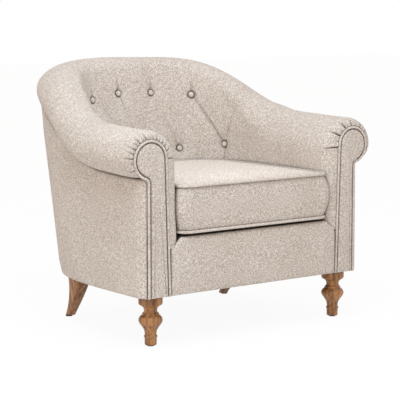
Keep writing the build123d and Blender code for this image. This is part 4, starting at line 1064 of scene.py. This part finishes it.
# %% Cushion rings
CUSHION_BOTTOM = 0.312
CUSHION_TOP = 0.438
CUSHION_CROWN = 0.017
CUSHION_COUNT = 300
CUSHION_FRONT = FACING - 0.0055
CUSHION_BACK = (0.4965, 0.531)
CUSHION_SIDE = 0.2640
CUSHION_REAR = 0.2445
FRONT_CORNER = 0.035
REAR_CORNER = 0.16
BOXING_BOW = 0.010


def rounded_ring(corners, count):
    """Even points round a polygon whose corners are (x, y, radius), from the middle of its last side."""
    path = []
    for index, (x, y, radius) in enumerate(corners):
        here = np.array((x, y))
        before = np.array(corners[index - 1][:2]) - here
        after = np.array(corners[(index + 1) % len(corners)][:2]) - here
        before = before / np.linalg.norm(before)
        after = after / np.linalg.norm(after)
        half = math.acos(before @ after) / 2
        centre = here + (before + after) / np.linalg.norm(before + after) * radius / math.sin(half)
        start = here + before * radius / math.tan(half) - centre
        end = here + after * radius / math.tan(half) - centre
        first = math.atan2(start[1], start[0])
        swing = (math.atan2(end[1], end[0]) - first + math.pi) % (2 * math.pi) - math.pi
        path.append(circle_points(*centre, radius, first + swing * np.linspace(0.0, 1.0, 40)))
    path = np.concatenate(path)
    return even_ring(np.concatenate(([(path[0] + path[-1]) / 2], path)), count)


def cushion_ring(lift, out=0.0):
    """Ring of the cushion between its bottom welt, at lift 0, and its top welt, at lift 1."""
    front = CUSHION_FRONT - out
    back = FACING + between(*CUSHION_BACK, lift) + out
    side, rear = CUSHION_SIDE + out, CUSHION_REAR + out
    corners = [(side, front, FRONT_CORNER), (rear, back, REAR_CORNER),
               (-rear, back, REAR_CORNER), (-side, front, FRONT_CORNER)]
    return rounded_ring(corners, CUSHION_COUNT)


def boxing_ring(lift):
    """Ring of the boxing, which bows out at the front, most at its corners, and in at the back."""
    ring = cushion_ring(lift)
    along = ring[:, 1] - FACING
    corner = smooth_step(np.abs(ring[:, 0]), 0.215, 0.262) * (1.0 - smooth_step(along, 0.01, 0.06))
    bow = 0.60 - 0.35 * smooth_step(along, 0.03, 0.08) + 0.75 * corner
    bow = between(bow, -0.85, smooth_step(ring[:, 1], 0.02, 0.11)) * math.sin(math.pi * lift)
    return ring + (cushion_ring(lift, BOXING_BOW) - ring) * bow[:, None]


def cushion_rings():
    """Rings as (points, sewn, boxing above), from the middle of the bottom to the middle of the top."""
    low, high = cushion_ring(0.0), cushion_ring(1.0)
    rings = [(shrunk(low, share, CUSHION_BOTTOM - 0.0055 * min(1.0, share / 0.06)), True, False)
             for share in (0.97, 0.8, 0.6, 0.4, 0.2, 0.08, 0.03)]
    rings.append((shrunk(low, 0.0, CUSHION_BOTTOM), True, True))
    for lift in np.linspace(0.0, 1.0, 20)[1:-1]:
        z = between(CUSHION_BOTTOM, CUSHION_TOP, lift)
        rings.append((shrunk(boxing_ring(lift), 0.0, z), False, True))
    rings.append((shrunk(high, 0.0, CUSHION_TOP), True, False))
    for share in np.linspace(0.0, 1.0, 48)[1:] ** 1.15 * 0.975:
        z = CUSHION_TOP + CUSHION_CROWN * (1.0 - (1.0 - share) ** 2.6)
        rings.append((shrunk(high, share, z), False, False))
    return rings


# %% Cushion
def cushion_mesh():
    """The cushion before it swells, with its UV map and its pinned points."""
    rings = cushion_rings()
    piece = ring_piece("seat_cushion_cover", [points for points, _, _ in rings])
    lengths = travel(cushion_ring(1.0))
    layer = piece.data.uv_layers["weave"]
    for polygon in piece.data.polygons:
        boxing = len(polygon.vertices) == 4 and rings[min(polygon.vertices) // CUSHION_COUNT][2]
        steps = [v % CUSHION_COUNT for v in polygon.vertices]
        wrap = max(steps) - min(steps) > 1
        for loop, vertex, step in zip(polygon.loop_indices, polygon.vertices, steps):
            place = piece.data.vertices[vertex].co
            around = lengths[-1] + lengths[1] if wrap and step == 0 else lengths[step]
            layer.data[loop].uv = (around, place.z) if boxing else place.xy
    pins = piece.vertex_groups.new(name="sewn")
    low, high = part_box("cushion_zip_tape")
    for vertex in piece.data.vertices:
        x, y, z = vertex.co
        beside = y > low.y - 0.03 and low.x - 0.012 < x < high.x + 0.012
        zipped = beside and low.z - 0.006 < z < high.z + 0.006
        if zipped or rings[vertex.index // CUSHION_COUNT][1]:
            pins.add([vertex.index], 1.0, "REPLACE")
    return piece


CLOTH = {"quality": 6, "mass": 0.3, "tension_stiffness": 20.0, "compression_stiffness": 12.0,
         "shear_stiffness": 8.0, "bending_stiffness": 2.0, "use_pressure": True,
         "uniform_pressure_force": 4.0, "vertex_group_mass": "sewn"}
CLOTH_FRAMES = 20
MOST_SWELL = 0.012
PIPING_OUT = 0.0022
PIPING_RADIUS = 0.0042


def blow_up(piece):
    """Swells a piece with Cloth, caps how far a point moves, and applies the result."""
    rest = np.array([v.co for v in piece.data.vertices])
    cloth = piece.modifiers.new("swell", "CLOTH")
    for name, value in CLOTH.items():
        setattr(cloth.settings, name, value)
    cloth.settings.effector_weights.gravity = 0.0
    cloth.collision_settings.use_collision = False
    cloth.point_cache.frame_start = 1
    cloth.point_cache.frame_end = CLOTH_FRAMES
    for step in range(1, CLOTH_FRAMES + 1):
        bpy.context.scene.frame_set(step)
    swollen = piece.evaluated_get(bpy.context.evaluated_depsgraph_get())
    moved = np.array([v.co for v in swollen.to_mesh().vertices]) - rest
    swollen.to_mesh_clear()
    piece.modifiers.remove(cloth)
    bpy.context.scene.frame_set(1)
    length = np.linalg.norm(moved, axis=1, keepdims=True)
    kept = moved * (MOST_SWELL * np.tanh(length / MOST_SWELL) / np.maximum(length, 1e-9))
    piece.data.vertices.foreach_set("co", (rest + kept).astype(np.float32).ravel())
    piece.data.update()
    return float(length.max())


cushion = cushion_mesh()
print("cushion swelled by", round(blow_up(cushion) * 1000, 1), "mm before the cap")
finish_piece(cushion, cushion_cloth, "cushion_core", "cushion_top_panel",
             "cushion_bottom_panel", "cushion_boxing", body="seat_cushion")
for word, lift, z in (("top", 1.0, CUSHION_TOP), ("bottom", 0.0, CUSHION_BOTTOM)):
    piping_path = shrunk(cushion_ring(lift, PIPING_OUT), 0.0, z)
    welt_piece("cushion_piping_" + word, piping_path, PIPING_RADIUS, True, "cushion_welt_" + word,
               body="seat_cushion")

# %% [markdown]
# ## Wood, metal and the rest
#
# The legs are stained hardwood: long grain with darker streaks and small pores, under a satin lacquer.
# The frame inside is raw softwood. The springs and fixings are steel. These finishes read the Object
# coordinates, so that the grain runs along the piece.

# %% Wood and metal materials
def grained_wood(name, dark, middle, pale, stretch, roughness):
    """Wood with grain along the axis that has the smallest stretch, and painted shade in its crevices."""
    material, tree, shader = new_finish(name)
    op = partial(math_node, tree)
    place = new_node(tree, "TexCoord", {}).outputs["Object"]
    stretched = new_node(tree, "Mapping", {0: place, "Scale": stretch}).outputs[0]
    grain = noise_node(tree, stretched, 1.0, 5.0, 0.62)
    pores = noise_node(tree, stretched, 5.5, 3.0, 0.7)
    tone = op("ADD", grain, op("MULTIPLY", op("SUBTRACT", pores, 0.5), 0.45))
    colour = tone_ramp(tree, tone, ((0.30, dark), (0.74, pale), (0.52, middle)))
    # Painted shade darkens the wood's colour in its crevices.
    feed(tree, shader, {"Base Color": painted_crease_shade(tree, colour, 0.3, 0.008),
                        "Roughness": op("ADD", op("MULTIPLY", pores, 0.25), roughness - 0.12),
                        "Normal": bump_node(tree, tone, 0.25, 0.0006)})
    return material


def speckled(name, dark, pale, scale, roughness, metallic=0.0):
    """Plain finish with fine speckle in its tone and roughness."""
    material, tree, shader = new_finish(name)
    op = partial(math_node, tree)
    speck = noise_node(tree, new_node(tree, "TexCoord", {}).outputs["Object"], scale, 3.0, 0.6)
    feed(tree, shader, {"Base Color": tone_ramp(tree, speck, ((0.3, dark), (0.7, pale))),
                        "Roughness": op("ADD", op("MULTIPLY", speck, 0.2), roughness - 0.1),
                        "Metallic": metallic, "Normal": bump_node(tree, speck, 0.15, 0.0004)})
    return material


finishes = {
    "leg_wood": grained_wood("leg_wood", (0.080, 0.028, 0.008), (0.34, 0.145, 0.048), (0.58, 0.29, 0.105),
                             (95.0, 95.0, 10.0), 0.42),
    "frame_wood": grained_wood("frame_wood", (0.40, 0.26, 0.13), (0.58, 0.41, 0.23), (0.70, 0.53, 0.33),
                               (9.0, 60.0, 60.0), 0.7),
    "foam": speckled("cream_foam", (0.66, 0.58, 0.38), (0.78, 0.71, 0.52), 700.0, 0.95),
    "zinc_steel": speckled("zinc_steel", (0.45, 0.45, 0.47), (0.62, 0.62, 0.64), 300.0, 0.38, 1.0),
    "spring_steel": speckled("spring_steel", (0.12, 0.12, 0.13), (0.22, 0.22, 0.23), 260.0, 0.35, 1.0),
    "felt": speckled("grey_felt", (0.06, 0.055, 0.05), (0.14, 0.13, 0.12), 900.0, 0.95),
    "webbing": speckled("jute_webbing", (0.20, 0.13, 0.07), (0.36, 0.26, 0.15), 800.0, 0.95),
    "glide_plastic": speckled("glide_plastic", (0.02, 0.014, 0.010), (0.035, 0.026, 0.019), 500.0, 0.5),
    "zip_tape": speckled("zip_tape", (0.42, 0.36, 0.29), (0.55, 0.48, 0.40), 900.0, 0.9),
    "zip_metal": speckled("zip_metal", (0.36, 0.27, 0.11), (0.50, 0.39, 0.18), 400.0, 0.35, 1.0),
    "upholstery_fabric": oatmeal_cloth,
    "platform_cloth": deck_cloth,
    "dust_cloth": dust_cloth,
}
for part in frame["record"]["subparts"]:
    node = frame["nodes"][part["node"]]
    node.data.materials.clear()
    node.data.materials.append(finishes[part["material_slot"]])
print("finishes:", len(finishes))

# %% [markdown]
# ## Legs
#
# The front legs are turned. A profile is drawn from the foot up: a plain foot, a small bead, a bulb, a
# ring, a neck and a flared collar. It is spun round, and the leg is copied for the other side. The rear
# legs are sawn sabre legs: a square of edges is pushed down step by step, swept back and drawn in, and
# its edges are eased.

# %% Front legs
LEG_MILLIMETRES = [
    (0, 3), (15.4, 3), (16.4, 4.2), (16.6, 12), (16.8, 23.2), (17.1, 24), (18.4, 25.2), (18.8, 26.8),
    (18.3, 28.4), (16.8, 29.4), (16.2, 32), (16.4, 37), (17.6, 43), (20.2, 49), (24.2, 54.8),
    (29, 61.2), (32.2, 66.8), (33.5, 71.4), (32.8, 76), (30.3, 80.6), (26.6, 84.5), (23.6, 87),
    (22.8, 87.7), (23.6, 89.3), (22.9, 91), (20.8, 92), (19, 94.8), (18.2, 99), (18.8, 103.4),
    (21.3, 108.5), (25.8, 112.2), (30, 114.4), (32.5, 116.4), (33.3, 119), (33.5, 128), (33.5, 139.2),
    (32.9, 140), (0, 140)
]
LEG_PROFILE = [(radius / 1000.0, height / 1000.0) for radius, height in LEG_MILLIMETRES]
turned_leg = spin_profile("turned_leg_right", LEG_PROFILE, 64)
turned_copy = linked("turned_leg_left", turned_leg.data.copy())
for leg, word in ((turned_leg, "right"), (turned_copy, "left")):
    low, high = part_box("front_leg_" + word)
    leg.data.transform(Matrix.Translation(((low.x + high.x) / 2, (low.y + high.y) / 2, 0.0)))
    finish_piece(leg, finishes["leg_wood"], "front_leg_" + word, slot="leg_wood")
    print("turned leg", word, "at", [round(v, 3) for v in leg.data.vertices[0].co])

# %% Rear legs
SABRE_TOP = (0.294, FACING + 0.464, 0.052, 0.058)
SABRE_FOOT = (0.290, FACING + 0.524, 0.022, 0.022)
SABRE_STEPS = 14
FOOT_LEVEL = 0.003


def sabre_section(share):
    """Middle, width and depth of the rear leg at a share of the way down."""
    x = between(SABRE_TOP[0], SABRE_FOOT[0], share)
    y = between(SABRE_TOP[1], SABRE_FOOT[1], share ** 1.6)
    wide, deep = (between(SABRE_FOOT[i], SABRE_TOP[i], (1.0 - share) ** 1.3) for i in (2, 3))
    return Vector((x, y, between(LEG_TOP, FOOT_LEVEL, share))), wide, deep


for word, side in SIDES:
    bpy.ops.object.select_all(action="DESELECT")
    bpy.ops.mesh.primitive_plane_add(size=1.0)
    leg = bpy.context.object
    leg.name = leg.data.name = "sabre_leg_" + word
    middle, wide, deep = sabre_section(0.0)
    bpy.ops.object.mode_set(mode="EDIT")
    bpy.ops.mesh.select_all(action="SELECT")
    bpy.ops.transform.resize(value=(wide, deep, 1.0), center_override=(0.0, 0.0, 0.0))
    bpy.ops.transform.translate(value=middle)
    for step in range(SABRE_STEPS):
        below, new_wide, new_deep = sabre_section((step + 1) / SABRE_STEPS)
        bpy.ops.mesh.extrude_region_move(TRANSFORM_OT_translate={"value": below - middle})
        bpy.ops.transform.resize(value=(new_wide / wide, new_deep / deep, 1.0), center_override=below)
        middle, wide, deep = below, new_wide, new_deep
    bpy.ops.mesh.select_all(action="DESELECT")
    bpy.ops.mesh.select_mode(type="EDGE")
    bpy.ops.object.mode_set(mode="OBJECT")
    for line in leg.data.edges:
        first, last = (leg.data.vertices[v].co for v in line.vertices)
        line.select = abs(first.z - last.z) > 0.002
    bpy.ops.object.mode_set(mode="EDIT")
    bpy.ops.mesh.bevel(offset=0.003, segments=3, affect="EDGES")
    bpy.ops.mesh.select_all(action="SELECT")
    bpy.ops.mesh.normals_make_consistent(inside=False)
    bpy.ops.object.mode_set(mode="OBJECT")
    if side < 0.0:
        leg.data.transform(Matrix.Scale(-1.0, 4, (1.0, 0.0, 0.0)))
        leg.data.flip_normals()
    finish_piece(leg, finishes["leg_wood"], "rear_leg_" + word, slot="leg_wood")
    bpy.ops.object.shade_smooth_by_angle(angle=math.radians(40.0))
print("sabre leg:", len(leg.data.polygons), "faces")
